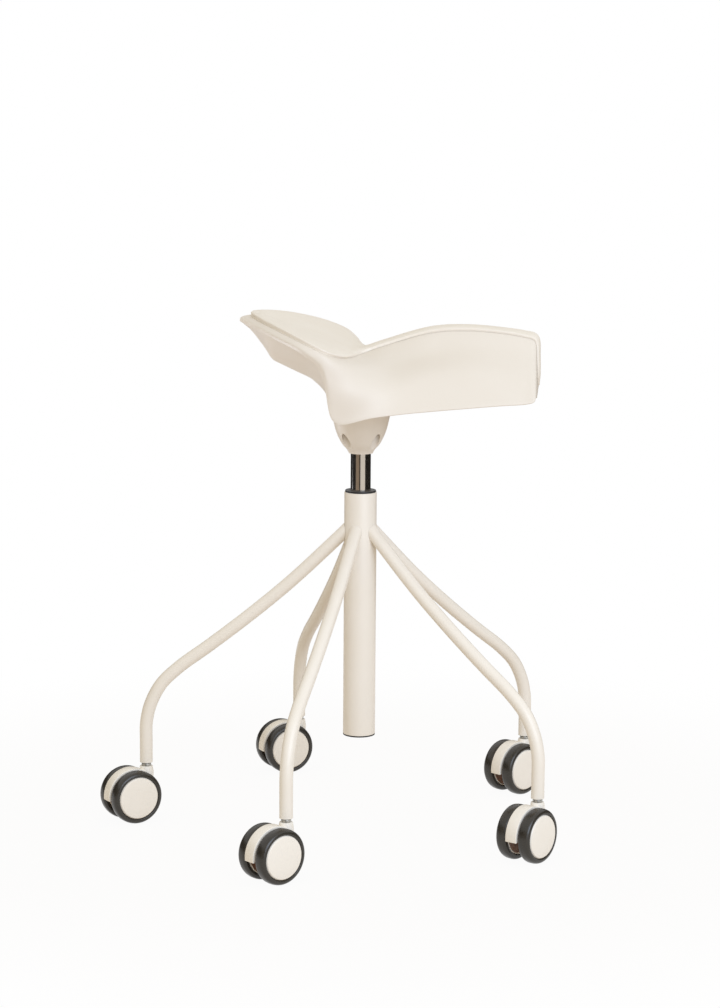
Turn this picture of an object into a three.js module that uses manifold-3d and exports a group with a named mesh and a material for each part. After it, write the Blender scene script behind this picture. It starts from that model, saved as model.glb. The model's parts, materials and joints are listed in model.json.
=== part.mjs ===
// Saddle stool on five castors: a moulded saddle seat on a gas spring, carried by a tall
// column with five bent-tube legs. Millimetres, +Z up, the nose of the seat along +X.
// The origin is the middle of the flat underside of the column's end plug.
import * as THREE from "three";
import { mergeVertices } from "three/addons/utils/BufferGeometryUtils.js";
import Module from "manifold-3d";

const wasm = await Module();
wasm.setup();

// Fits shared by all pieces
const fitGap = 0.3;
const slideGap = 0.5;
const cutOverrun = 3;

// Twin-wheel castors
const wheelDiameter = 75;
const discDiameter = 60;
const tyreWidth = 17;
const tyreShoulder = 4.5;
const discRound = 3;
const discCrown = 1.2;
const rimWall = 4;
const hubDish = 5;
const hubFaceWall = 4.6;
const wheelSpacing = 36.5;
const wheelSideGap = 1;
const axleDiameter = 7;
const axleGrip = 9;
const castorTrail = 24.5;
const hoodClearance = 2.5;
const hoodWall = 2.6;
const hoodWebWidth = 7;
const hoodWebFootShare = 0.9;
const axleBossDiameter = 16;
const stemBossTop = 17;
const stemBossBottom = 21;
const stemBossFootShare = 0.84;
const stemBossCone = 4;
const stemBossDepth = 25;
const stemDiameter = 10;
const stemInHood = 20;
const stemFlangeDiameter = 13.4;
const stemFlangeHeight = 3.6;
const stemShadowGap = 1.2;
const stemGripLength = 32;
const hoodBackAngle = 186;
const hoodFrontAngle = 40;
const castorHeadings = [35.6, 45.6, 56.6, 49.6, 29.6];

// Bent-tube legs
const legCount = 5;
const legTurn = 184.2;
const legTubeDiameter = 18;
const legFootDiameter = 15.4;
const legTaperLength = 62;
const legTubeWall = 2;
const legReach = 300.3;
const legFootHeight = 81.6;
const legTopHeight = 424;
const legLineShares = [
  [0.04, 1], [0.139, 0.915], [0.326, 0.76], [0.513, 0.622], [0.701, 0.494],
  [0.843, 0.402], [0.928, 0.329], [0.977, 0.248], [0.998, 0.171], [1, 0.083], [1, 0],
];

// Column
const columnDiameter = 45;
const columnWall = 2;
const columnFootHeight = 124.5;
const columnTopHeight = 470.5;
const plugFlange = 1.7;
const plugFloor = 2.6;
const plugWall = 2.5;
const plugDepth = 15;
const bearingPlateThickness = 6;
const thrustBearingThickness = 4;
const thrustBearingDiameter = 26;
const clipThickness = 1.4;
const clipDiameter = 16;
const clipGrooveDepth = 0.8;
const rodTail = 3;
const collarFlange = 2.4;
const collarFlangeDiameter = 43;
const collarDepth = 34;

// Gas spring
const rodDiameter = 10;
const rodShoulderDiameter = 17;
const rodShoulderHeight = 4;
const springDiameter = 28;
const springWall = 2.2;
const springEndWall = 12;
const springFootHeight = 252;
const pistonHeight = 346;
const pistonThickness = 8;
const springShow = 54.5;
const springTaperInDome = 16;
const springInDome = 55;
const springTopDiameter = 26.8;
const springTopWall = 46;
const valveDiameter = 7;
const valveHeight = 8;

// Seat mount: dome, taper socket, plate, screws and release lever
const domeRimDiameter = 96;
const domeLineShares = [
  [0.344, 0], [0.404, 0.058], [0.515, 0.127], [0.594, 0.194],
  [0.72, 0.35], [0.842, 0.624], [0.917, 0.832], [0.969, 1],
];
const socketDiameter = 38;
const boltCircle = 57.4;
const boltTurn = 49.6;
const boltCount = 4;
const boltDiameter = 4.4;
const boltHeadDiameter = 8.6;
const boltHeadHeight = 4;
const boltPocketDiameter = 10.4;
const boltPocketTop = 13;
const boltGrip = 13;
const plateDiameter = 94;
const plateThickness = 4;
const bossDiameter = 13;
const leverDiameter = 6;
const leverReachShare = 0.34;
const leverTail = 5;
const leverTravelGap = 2.6;
const leverHeadroom = 17.9;
const leverPivotOffset = 9;
const leverPinDiameter = 3;
const leverHubDiameter = 8;
const leverLift = 8;
const leverSlotWidth = 8.4;
const knobDiameter = 14;
const knobNeckShare = 0.77;
const knobTipShare = 0.66;
const knobLength = 30;
const knobGrip = 16;

// Seat: shell, pad and under cover
const seatLength = 415;
const seatWidth = 330;
const seatDepth = 130;
const seatRearOverhang = 170;
const seatSkirtDrop = 27.5;
const shellThickness = 4.5;
const padRearThickness = 10.5;
const padDipThickness = 6;
const padNoseThickness = 4.2;
const padEdgeShare = 0.62;
const keelWall = 3;
const keelEdgeWall = 1.2;
const keelClearance = 1.6;

// Faces round the turned and swept pieces, and steps along the loft
const columnFaces = 24;
const wheelFaces = 18;
const smallFaces = 10;
const legFaces = 12;
const legBoreFaces = 6;
const legSteps = 16;
const hoodSteps = 7;
const loftSteps = 28;

// The seat's five rails from the rear tip to the nose: each point is a share of the
// seat's length, half width and depth
const crestShares = [
  [0.043, 0, 0.992], [0.092, 0, 0.923], [0.164, 0, 0.846], [0.246, 0, 0.769],
  [0.308, 0, 0.708], [0.347, 0, 0.669], [0.381, 0, 0.642], [0.419, 0, 0.646],
  [0.482, 0, 0.715], [0.643, 0, 0.871], [0.759, 0, 0.898], [0.875, 0, 0.877],
  [0.949, 0, 0.851], [0.987, 0, 0.815], [0.994, 0, 0.615], [0.995, 0, 0.431],
  [0.996, 0, 0.308],
];
const padEdgeLineShares = [
  [0.043, 0, 0.992], [0.087, 0.364, 0.958], [0.166, 0.679, 0.892], [0.26, 0.921, 0.792],
  [0.32, 0.97, 0.715], [0.357, 0.818, 0.665], [0.386, 0.545, 0.635], [0.427, 0.152, 0.646],
  [0.482, 0.121, 0.708], [0.643, 0.121, 0.862], [0.759, 0.121, 0.889], [0.875, 0.121, 0.866],
  [0.949, 0.121, 0.829], [0.985, 0.121, 0.787], [0.993, 0.121, 0.592], [0.995, 0.085, 0.423],
  [0.996, 0, 0.308],
];
const troughShares = [
  [0.029, 0, 0.996], [0.077, 0.376, 0.965], [0.159, 0.697, 0.9], [0.255, 0.945, 0.796],
  [0.318, 0.994, 0.7], [0.366, 0.945, 0.608], [0.41, 0.812, 0.554], [0.467, 0.533, 0.546],
  [0.516, 0.376, 0.562], [0.648, 0.267, 0.669], [0.764, 0.248, 0.708], [0.875, 0.23, 0.7],
  [0.952, 0.218, 0.677], [0.987, 0.218, 0.638], [0.994, 0.206, 0.515], [0.996, 0.127, 0.385],
  [0.996, 0, 0.281],
];
const bellyShares = [
  [0.012, 0, 0.996], [0.067, 0.388, 0.965], [0.151, 0.718, 0.896], [0.251, 0.964, 0.781],
  [0.313, 1, 0.646], [0.352, 0.97, 0.415], [0.419, 0.915, 0.338], [0.487, 0.8, 0.331],
  [0.545, 0.679, 0.377], [0.655, 0.545, 0.469], [0.771, 0.485, 0.5], [0.882, 0.448, 0.492],
  [0.957, 0.424, 0.477], [0.99, 0.412, 0.454], [0.996, 0.364, 0.4], [0.996, 0.206, 0.308],
  [0.996, 0, 0.246],
];
const hemShares = [
  [0, 0, 0.977], [0.06, 0.394, 0.946], [0.147, 0.727, 0.877], [0.251, 0.97, 0.746],
  [0.311, 0.988, 0.585], [0.337, 0.927, 0.185], [0.369, 0.897, 0], [0.472, 0.873, 0.069],
  [0.564, 0.839, 0.112], [0.66, 0.8, 0.142], [0.776, 0.758, 0.173], [0.892, 0.703, 0.2],
  [0.961, 0.667, 0.212], [0.988, 0.645, 0.231], [0.996, 0.564, 0.262], [0.996, 0.273, 0.215],
  [0.996, 0, 0.204],
];
// Where the loft's columns lie: from the crest to the pad's edge, then on to the hem
const padColumnShares = [0, 0.45, 0.85, 1];
const flankColumnShares = [0.2, 0.4, 0.6, 0.8, 1];
// The under cover: its depth under the crest at each station, and how far out it reaches
const keelDepthShares = [0.05, 0.25, 0.35, 0.39, 0.54, 0.6, 0.62];
const keelReachShares = [0.5, 1, 1, 1, 0.99, 0.45, 0.36];

// The under cover's hollow: the station where it starts, and how far out it reaches
const keelHollowStart = 1;
const keelHollowShares = [0.2, 0.2, 0.15, 0.1, 0.1, 0.3, 0.3];
const keelColumnShares = [0.5, 1];

// Looks
const looks = {
  cream: { color: 0xebe6dc, roughness: 0.5, metalness: 0 },
  creamMetal: { color: 0xeae4d8, roughness: 0.38, metalness: 0 },
  pad: { color: 0xefeae1, roughness: 0.62, metalness: 0 },
  darkSteel: { color: 0x3a3836, roughness: 0.3, metalness: 0.85 },
  steel: { color: 0xb9b7b2, roughness: 0.35, metalness: 0.9 },
  black: { color: 0x1f1f1f, roughness: 0.55, metalness: 0 },
  tyre: { color: 0x3b3a38, roughness: 0.6, metalness: 0 },
};

// Puts vertices that lie together into one, drops slivers and turns the faces outward
function closedBody(source) {
  const bare = new THREE.BufferGeometry();
  bare.setAttribute("position", source.getAttribute("position").clone());
  if (source.index) {
    bare.setIndex(source.index.clone());
  }
  const merged = mergeVertices(bare, 1e-3);
  const position = merged.getAttribute("position");
  const kept = [];
  let volume = 0;
  const a = new THREE.Vector3();
  const b = new THREE.Vector3();
  const c = new THREE.Vector3();
  for (let i = 0; i < merged.index.count; i += 3) {
    const p = merged.index.getX(i);
    const q = merged.index.getX(i + 1);
    const r = merged.index.getX(i + 2);
    if (p !== q && q !== r && r !== p) {
      a.fromBufferAttribute(position, p);
      b.fromBufferAttribute(position, q);
      c.fromBufferAttribute(position, r);
      volume += a.dot(b.cross(c));
      kept.push(p, q, r);
    }
  }
  if (volume < 0) {
    for (let i = 0; i < kept.length; i += 3) {
      [kept[i], kept[i + 1]] = [kept[i + 1], kept[i]];
    }
  }
  merged.setIndex(kept);
  return merged;
}

function solidOf(geometry) {
  const body = closedBody(geometry);
  return new wasm.Manifold(new wasm.Mesh({
    numProp: 3,
    vertProperties: new Float32Array(body.getAttribute("position").array),
    triVerts: new Uint32Array(body.index.array),
  }));
}

function geometryOf(solid) {
  const mesh = solid.getMesh();
  const geometry = new THREE.BufferGeometry();
  geometry.setAttribute("position", new THREE.BufferAttribute(mesh.vertProperties, 3));
  geometry.setIndex(new THREE.BufferAttribute(mesh.triVerts, 1));
  return geometry;
}

function cut(geometry, ...tools) {
  return geometryOf(tools.reduce((solid, tool) => solid.subtract(solidOf(tool)), solidOf(geometry)));
}

function join(geometry, ...others) {
  return geometryOf(others.reduce((solid, other) => solid.add(solidOf(other)), solidOf(geometry)));
}

// The largest of the bodies that a cut leaves, without its slivers and bubbles
function mainBody(geometry) {
  const bodies = solidOf(geometry).decompose();
  return geometryOf(bodies.reduce((best, body) => (body.volume() > best.volume() ? body : best)));
}

// A turned piece about Z from a radius and height outline; a ring's outline closes on itself
function turned(outline, faces, closed) {
  const points = outline.map(([radius, height]) => new THREE.Vector2(radius, height));
  if (closed) {
    points.push(points[0].clone());
  }
  const geometry = new THREE.LatheGeometry(points, faces);
  geometry.rotateX(Math.PI / 2);
  return geometry;
}

function rod(radius, from, to, faces) {
  return turned([[0, from], [radius, from], [radius, to], [0, to]], faces, false);
}

function tube(outer, inner, from, to, faces) {
  return turned([[inner, from], [outer, from], [outer, to], [inner, to]], faces, true);
}

function circlePoints(radius, faces) {
  const points = [];
  for (let i = 0; i < faces; i += 1) {
    const angle = (2 * Math.PI * i) / faces;
    points.push(new THREE.Vector2(radius * Math.cos(angle), radius * Math.sin(angle)));
  }
  return points;
}

function radians(degrees) {
  return THREE.MathUtils.degToRad(degrees);
}

const stool = new THREE.Group();
const onFloor = new THREE.Group();
onFloor.position.z = -columnFootHeight;
stool.add(onFloor);

function place(parent, name, geometry, look) {
  const body = closedBody(geometry).toNonIndexed();
  body.computeVertexNormals();
  const mesh = new THREE.Mesh(body, new THREE.MeshStandardMaterial(looks[look]));
  mesh.name = name;
  parent.add(mesh);
}

// Column and its fixed inner pieces
const columnRadius = columnDiameter / 2;
const columnBore = columnRadius - columnWall;
const tubeFootHeight = columnFootHeight + plugFlange + fitGap;
const plugTopHeight = columnFootHeight + plugFlange + plugDepth;
const plateFootHeight = plugTopHeight + fitGap;
const plateTopHeight = plateFootHeight + bearingPlateThickness;
const bearingFootHeight = plateTopHeight + fitGap;
const bearingTopHeight = bearingFootHeight + thrustBearingThickness;
const rodRadius = rodDiameter / 2;
const rodHole = rodRadius + fitGap;
const insertRadius = columnBore - fitGap;
const springRadius = springDiameter / 2;
const guideBore = springRadius + slideGap;

place(onFloor, "column_tube",
  tube(columnRadius, columnBore, tubeFootHeight, columnTopHeight, columnFaces), "creamMetal");

place(onFloor, "column_end_plug", turned([
  [0, columnFootHeight], [columnRadius, columnFootHeight],
  [columnRadius, columnFootHeight + plugFlange], [insertRadius, columnFootHeight + plugFlange],
  [insertRadius, plugTopHeight], [insertRadius - plugWall, plugTopHeight],
  [insertRadius - plugWall, columnFootHeight + plugFloor], [0, columnFootHeight + plugFloor],
], columnFaces, false), "black");

place(onFloor, "bearing_plate",
  tube(insertRadius, rodHole, plateFootHeight, plateTopHeight, columnFaces), "steel");

place(onFloor, "thrust_bearing",
  tube(thrustBearingDiameter / 2, rodHole, bearingFootHeight, bearingTopHeight, wheelFaces),
  "steel");

const collarSeatHeight = columnTopHeight + fitGap;
const collarTopHeight = collarSeatHeight + collarFlange;
place(onFloor, "column_collar", turned([
  [guideBore, columnTopHeight - collarDepth], [insertRadius, columnTopHeight - collarDepth],
  [insertRadius, collarSeatHeight], [collarFlangeDiameter / 2, collarSeatHeight],
  [collarFlangeDiameter / 2, collarTopHeight], [guideBore, collarTopHeight],
], columnFaces, true), "black");

// Piston rod: it stands on the thrust bearing and turns in the bearing plate, held by a
// clip in a groove under the plate
const clipTopHeight = plateFootHeight - fitGap;
const clipFootHeight = clipTopHeight - clipThickness;
const grooveTopHeight = clipTopHeight + fitGap;
const grooveFootHeight = clipFootHeight - fitGap;
const grooveRadius = rodRadius - clipGrooveDepth;
const rodFootHeight = grooveFootHeight - rodTail;
const shoulderFootHeight = bearingTopHeight + fitGap;
const shoulderTopHeight = shoulderFootHeight + rodShoulderHeight;
const pistonRadius = springRadius - springWall - fitGap;
place(onFloor, "piston_rod", turned([
  [0, rodFootHeight], [rodRadius, rodFootHeight], [rodRadius, grooveFootHeight],
  [grooveRadius, grooveFootHeight], [grooveRadius, grooveTopHeight], [rodRadius, grooveTopHeight],
  [rodRadius, shoulderFootHeight], [rodShoulderDiameter / 2, shoulderFootHeight],
  [rodShoulderDiameter / 2, shoulderTopHeight], [rodRadius, shoulderTopHeight],
  [rodRadius, pistonHeight], [pistonRadius, pistonHeight],
  [pistonRadius, pistonHeight + pistonThickness], [0, pistonHeight + pistonThickness],
], wheelFaces, false), "steel");

place(onFloor, "retaining_clip",
  tube(clipDiameter / 2, grooveRadius + fitGap, clipFootHeight, clipTopHeight, wheelFaces), "steel");

// Gas spring cylinder with its tapered top and the valve's button
const domeFootHeight = columnTopHeight + springShow;
const springTaperStart = domeFootHeight + springTaperInDome;
const springTopHeight = domeFootHeight + springInDome;
const valveTopHeight = springTopHeight + valveHeight;
place(onFloor, "gas_spring", turned([
  [rodHole, springFootHeight], [springRadius, springFootHeight],
  [springRadius, springTaperStart], [springTopDiameter / 2, springTopHeight],
  [valveDiameter / 2, springTopHeight], [valveDiameter / 2, valveTopHeight],
  [0, valveTopHeight], [0, springTopHeight - springTopWall],
  [springRadius - springWall, springTopHeight - springTopWall],
  [springRadius - springWall, springFootHeight + springEndWall],
  [rodHole, springFootHeight + springEndWall],
], wheelFaces, true), "darkSteel");

// Five legs, coped to the column and bent down to the castor stems
const legDrop = legTopHeight - legFootHeight;
const legRadius = legTubeDiameter / 2;
const legBore = legRadius - legTubeWall;
const legPath = new THREE.CatmullRomCurve3(legLineShares.map(([out, up]) => (
  new THREE.Vector3(legReach * out, 0, legFootHeight + legDrop * up))));
const legSection = new THREE.Shape(circlePoints(legRadius, legFaces));
legSection.holes.push(new THREE.Path(circlePoints(legBore, legBoreFaces)));
const legTube = new THREE.ExtrudeGeometry(legSection, { steps: legSteps, extrudePath: legPath });

// The tube's upright foot narrows towards the castor stem
const legFootShare = legFootDiameter / legTubeDiameter;
const legTubePoints = legTube.getAttribute("position");
for (let i = 0; i < legTubePoints.count; i += 1) {
  const rise = legTubePoints.getZ(i) - legFootHeight;
  const narrow = THREE.MathUtils.lerp(legFootShare, 1,
    THREE.MathUtils.smoothstep(rise, 0, legTaperLength));
  if (rise < legTaperLength) {
    legTubePoints.setX(i, legReach + (legTubePoints.getX(i) - legReach) * narrow);
    legTubePoints.setY(i, legTubePoints.getY(i) * narrow);
  }
}
const legGeometry = cut(legTube,
  rod(columnRadius + fitGap, tubeFootHeight, columnTopHeight, columnFaces));

// Castor pieces, each about its own stem axis with the wheels behind it
const wheelRadius = wheelDiameter / 2;
const discRadius = discDiameter / 2;
const halfTyre = tyreWidth / 2;
const axleRadius = axleDiameter / 2;
const axleHole = axleRadius + fitGap;
const tyreGeometry = turned([
  [discRadius + fitGap, -halfTyre], [discRadius + fitGap, halfTyre],
  [wheelRadius - tyreShoulder, halfTyre], [wheelRadius, halfTyre - tyreShoulder],
  [wheelRadius, tyreShoulder - halfTyre], [wheelRadius - tyreShoulder, -halfTyre],
], wheelFaces, true);
const hubGeometry = turned([
  [0, halfTyre + discCrown], [discRadius - discRound, halfTyre + discCrown / 2],
  [discRadius, halfTyre - discRound / 2], [discRadius, -halfTyre],
  [discRadius - rimWall, -halfTyre], [discRadius - rimWall, hubDish - halfTyre],
  [axleHole, hubDish - halfTyre],
  [axleHole, halfTyre - hubFaceWall], [0, halfTyre - hubFaceWall],
], wheelFaces, false);

const halfHood = wheelSpacing / 2 - halfTyre - wheelSideGap;
const hoodRadius = wheelRadius + hoodClearance;
const stemFlangeTop = legFootHeight - stemShadowGap;
const stemFlangeFoot = stemFlangeTop - stemFlangeHeight;
const stemBossHeight = stemFlangeFoot - fitGap;
const stemRadius = stemDiameter / 2;

function arcPoints(radius, from, to, steps) {
  const points = [];
  for (let i = 0; i <= steps; i += 1) {
    const angle = radians(from + ((to - from) * i) / steps);
    points.push(new THREE.Vector2(radius * Math.cos(angle), radius * Math.sin(angle)));
  }
  return points;
}

// A flat outline in the wheels' plane, about the axle, as thick as given across the castor
function acrossWheels(points, width) {
  const geometry = new THREE.ExtrudeGeometry(new THREE.Shape(points),
    { depth: width, bevelEnabled: false, steps: 1 });
  geometry.translate(0, 0, -width / 2);
  geometry.rotateX(Math.PI / 2);
  geometry.translate(-castorTrail, 0, wheelRadius);
  return geometry;
}

const hoodBand = acrossWheels([
  ...arcPoints(hoodRadius, hoodFrontAngle, hoodBackAngle, hoodSteps),
  ...arcPoints(hoodRadius - hoodWall, hoodBackAngle, hoodFrontAngle, hoodSteps),
], 2 * halfHood);
const hoodWeb = acrossWheels([
  ...arcPoints(hoodRadius - hoodWall / 2, hoodFrontAngle, hoodBackAngle, hoodSteps),
  ...arcPoints((hoodWebFootShare * axleBossDiameter) / 2, hoodBackAngle, hoodFrontAngle, 2),
], hoodWebWidth);
const axleBoss = acrossWheels(circlePoints(axleBossDiameter / 2, smallFaces), 2 * halfHood);
const stemBoss = turned([
  [0, stemBossHeight - stemBossDepth],
  [(stemBossFootShare * stemBossBottom) / 2, stemBossHeight - stemBossDepth],
  [stemBossBottom / 2, stemBossHeight - stemBossCone * 2],
  [stemBossBottom / 2, stemBossHeight - stemBossCone],
  [stemBossTop / 2, stemBossHeight], [0, stemBossHeight],
], smallFaces, false);
const axleBore = acrossWheels(circlePoints(axleHole, smallFaces), 2 * halfHood + 2 * cutOverrun);
const stemBore = rod(stemRadius + fitGap, stemBossHeight - stemInHood - fitGap,
  stemBossHeight + cutOverrun, smallFaces);
const hoodGeometry = cut(join(hoodBand, hoodWeb, axleBoss, stemBoss), axleBore, stemBore);

const stemGripRadius = legBore * legFootShare * Math.cos(Math.PI / legBoreFaces) - fitGap;
const stemGeometry = turned([
  [0, stemFlangeFoot - stemInHood], [stemRadius, stemFlangeFoot - stemInHood],
  [stemRadius, stemFlangeFoot], [stemFlangeDiameter / 2, stemFlangeFoot],
  [stemFlangeDiameter / 2, stemFlangeTop], [stemGripRadius, stemFlangeTop],
  [stemGripRadius, legFootHeight + stemGripLength], [0, legFootHeight + stemGripLength],
], smallFaces, false);
const axleGeometry = rod(axleRadius, -halfHood - axleGrip, halfHood + axleGrip, smallFaces);
axleGeometry.rotateX(Math.PI / 2);
axleGeometry.translate(-castorTrail, 0, wheelRadius);

const letters = ["a", "b", "c", "d", "e"];
for (let i = 0; i < legCount; i += 1) {
  const turn = radians(legTurn + (360 * i) / legCount);
  const leg = new THREE.Group();
  leg.rotation.z = turn;
  onFloor.add(leg);
  place(leg, `leg_${letters[i]}`, legGeometry, "creamMetal");

  const castor = new THREE.Group();
  castor.position.set(legReach * Math.cos(turn), legReach * Math.sin(turn), 0);
  castor.rotation.z = radians(castorHeadings[i]);
  onFloor.add(castor);
  place(castor, `castor_${letters[i]}_stem`, stemGeometry, "steel");
  place(castor, `castor_${letters[i]}_hood`, hoodGeometry, "cream");
  place(castor, `castor_${letters[i]}_axle`, axleGeometry, "steel");
  for (const side of [1, -1]) {
    const wheel = new THREE.Group();
    wheel.position.set(-castorTrail, (-side * wheelSpacing) / 2, wheelRadius);
    wheel.rotation.x = (side * Math.PI) / 2;
    castor.add(wheel);
    const which = side > 0 ? "near" : "far";
    place(wheel, `castor_${letters[i]}_hub_${which}`, hubGeometry, "cream");
    place(wheel, `castor_${letters[i]}_tyre_${which}`, tyreGeometry, "tyre");
  }
}

// Dome with the socket's bore, four screw pockets and a slot for the lever
const leverHeight = valveTopHeight + leverTravelGap + leverDiameter / 2;
const domeTopHeight = leverHeight + leverHeadroom;
const domeHeight = domeTopHeight - domeFootHeight;
const socketRadius = socketDiameter / 2;
const socketFootHeight = springTaperStart - fitGap;
const plateFoot = domeTopHeight + fitGap;
const plateTop = plateFoot + plateThickness;

function onBoltCircle(make) {
  const copies = [];
  for (let i = 0; i < boltCount; i += 1) {
    const angle = radians(boltTurn + (360 * i) / boltCount);
    const copy = make();
    copy.translate((boltCircle / 2) * Math.cos(angle), (boltCircle / 2) * Math.sin(angle), 0);
    copies.push(copy);
  }
  return copies;
}

function box(width, depth, height, x, y, z) {
  const geometry = new THREE.BoxGeometry(width, depth, height);
  geometry.translate(x, y, z);
  return geometry;
}

const domeLine = domeLineShares.map(([out, up]) => (
  [(domeRimDiameter / 2) * out, domeFootHeight + domeHeight * up]));
const pocketTopHeight = domeTopHeight - boltPocketTop;
const slotDepth = domeRimDiameter / 2 + cutOverrun;
const slotRise = 2 * Math.tan(radians(leverLift)) * (domeRimDiameter / 2);
const slotHeight = leverDiameter + 2 * slideGap + slotRise;
const leverSlot = box(leverSlotWidth, slotDepth, slotHeight, 0, slotDepth / 2,
  leverHeight - leverDiameter / 2 - slideGap + slotHeight / 2);
place(onFloor, "dome_housing", cut(turned([
  [springRadius + slideGap, domeFootHeight], ...domeLine,
  [socketRadius + fitGap, domeTopHeight], [socketRadius + fitGap, socketFootHeight - fitGap],
  [springRadius + slideGap, socketFootHeight - fitGap],
], columnFaces, true),
...onBoltCircle(() => rod(boltPocketDiameter / 2, domeFootHeight, pocketTopHeight, smallFaces)),
...onBoltCircle(() => rod(boltDiameter / 2 + fitGap, domeFootHeight,
  domeTopHeight + cutOverrun, smallFaces)),
leverSlot), "cream");

const taperTop = springTopDiameter / 2 + fitGap;
const pinBore = rod(leverPinDiameter / 2 + fitGap, -socketRadius - cutOverrun,
  socketRadius + cutOverrun, smallFaces);
pinBore.rotateY(Math.PI / 2);
pinBore.translate(0, leverPivotOffset, leverHeight);
place(onFloor, "seat_mount", cut(turned([
  [springRadius + fitGap, socketFootHeight], [socketRadius, socketFootHeight],
  [socketRadius, plateFoot], [plateDiameter / 2, plateFoot], [plateDiameter / 2, plateTop],
  [0, plateTop], [0, plateFoot], [taperTop, plateFoot], [taperTop, springTopHeight],
], columnFaces, true), leverSlot, pinBore, ...onBoltCircle(() => (
  rod(boltDiameter / 2 + fitGap, plateFoot - cutOverrun, plateTop + cutOverrun, smallFaces)
))), "darkSteel");

const screwHeadTop = pocketTopHeight - fitGap;
const screws = onBoltCircle(() => turned([
  [0, screwHeadTop - boltHeadHeight], [boltHeadDiameter / 2, screwHeadTop - boltHeadHeight],
  [boltHeadDiameter / 2, screwHeadTop], [boltDiameter / 2, screwHeadTop],
  [boltDiameter / 2, plateTop + boltGrip], [0, plateTop + boltGrip],
], smallFaces, false));
screws.forEach((screw, i) => place(onFloor, `mount_screw_${i + 1}`, screw, "steel"));

// Release lever: a rod on a cross pin, with its inner end over the valve button
const leverReach = seatWidth * leverReachShare;
const leverRod = rod(leverDiameter / 2, -leverTail, leverReach, smallFaces);
leverRod.rotateX(-Math.PI / 2);
leverRod.translate(0, 0, leverHeight);
const leverHub = rod(leverHubDiameter / 2, -leverDiameter / 2, leverDiameter / 2, smallFaces);
leverHub.rotateY(Math.PI / 2);
leverHub.translate(0, leverPivotOffset, leverHeight);
place(onFloor, "release_lever", cut(join(leverRod, leverHub), pinBore), "steel");
const leverPinHalf = Math.sqrt(
  socketRadius ** 2 - (leverPivotOffset + leverPinDiameter / 2) ** 2) - fitGap;
const leverPin = rod(leverPinDiameter / 2, -leverPinHalf, leverPinHalf, smallFaces);
leverPin.rotateY(Math.PI / 2);
leverPin.translate(0, leverPivotOffset, leverHeight);
place(onFloor, "lever_pin", leverPin, "steel");
const knobStart = leverReach - knobGrip;
const knobEnd = knobStart + knobLength;
const leverKnob = turned([
  [leverDiameter / 2 + fitGap, knobStart], [(knobNeckShare * knobDiameter) / 2, knobStart],
  [knobDiameter / 2, knobStart + knobDiameter / 2],
  [knobDiameter / 2, knobEnd - (knobTipShare * knobDiameter) / 2],
  [(knobTipShare * knobDiameter) / 2, knobEnd], [0, knobEnd], [0, leverReach + fitGap],
  [leverDiameter / 2 + fitGap, leverReach + fitGap],
], smallFaces, true);
leverKnob.rotateX(-Math.PI / 2);
leverKnob.translate(0, 0, leverHeight);
place(onFloor, "lever_knob", leverKnob, "black");

// The seat's surface: a loft over the five rails, the same on both sides
const seatHemHeight = domeTopHeight - seatSkirtDrop;
const seatPoint = ([along, across, up]) => new THREE.Vector3(
  seatLength * along - seatRearOverhang, (seatWidth / 2) * across, seatHemHeight + seatDepth * up);
const rails = [crestShares, padEdgeLineShares, troughShares, bellyShares, hemShares].map(
  (shares) => new THREE.CatmullRomCurve3(shares.map(seatPoint)));
const stationCount = crestShares.length - 1;

function flankPoint(row, share) {
  const across = new THREE.CatmullRomCurve3(rails.slice(1).map((rail) => rail.getPoint(row)));
  return across.getPoint(share);
}

function seatRow(row) {
  const crest = rails[0].getPoint(row);
  const edge = rails[1].getPoint(row);
  return [
    ...padColumnShares.map((share) => crest.clone().lerp(edge, share)),
    ...flankColumnShares.map((share) => flankPoint(row, share)),
  ];
}

// An open sheet: its points, where each lies in the grid, and its faces
function sheetOf(rows, lastColumn) {
  const sheet = { points: [], grid: [], faces: [] };
  const seen = new Map();
  const indexOf = (r, c, side) => {
    const p = rows[r][c].clone();
    p.y *= side;
    const key = [p.x, p.y, p.z].map((value) => Math.round(value * 100)).join(" ");
    if (!seen.has(key)) {
      seen.set(key, sheet.points.length);
      sheet.points.push(p);
      sheet.grid.push([r, c]);
    }
    return seen.get(key);
  };
  const addFace = (a, b, c) => {
    if (a !== b && b !== c && c !== a) {
      sheet.faces.push([a, b, c]);
    }
  };
  for (let r = 0; r + 1 < rows.length; r += 1) {
    for (let c = 0; c < lastColumn; c += 1) {
      for (const side of [1, -1]) {
        const a = indexOf(r, c, side);
        const b = indexOf(r + 1, c, side);
        const d = indexOf(r + 1, c + 1, side);
        const e = indexOf(r, c + 1, side);
        if (side > 0) {
          addFace(a, b, d);
          addFace(a, d, e);
        } else {
          addFace(a, d, b);
          addFace(a, e, d);
        }
      }
    }
  }
  return sheet;
}

function normalsOf(sheet) {
  const normals = sheet.points.map(() => new THREE.Vector3());
  const u = new THREE.Vector3();
  const v = new THREE.Vector3();
  for (const [a, b, c] of sheet.faces) {
    u.subVectors(sheet.points[b], sheet.points[a]);
    v.subVectors(sheet.points[c], sheet.points[a]);
    u.cross(v);
    normals[a].add(u);
    normals[b].add(u);
    normals[c].add(u);
  }
  return normals.map((normal) => normal.normalize());
}

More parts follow.
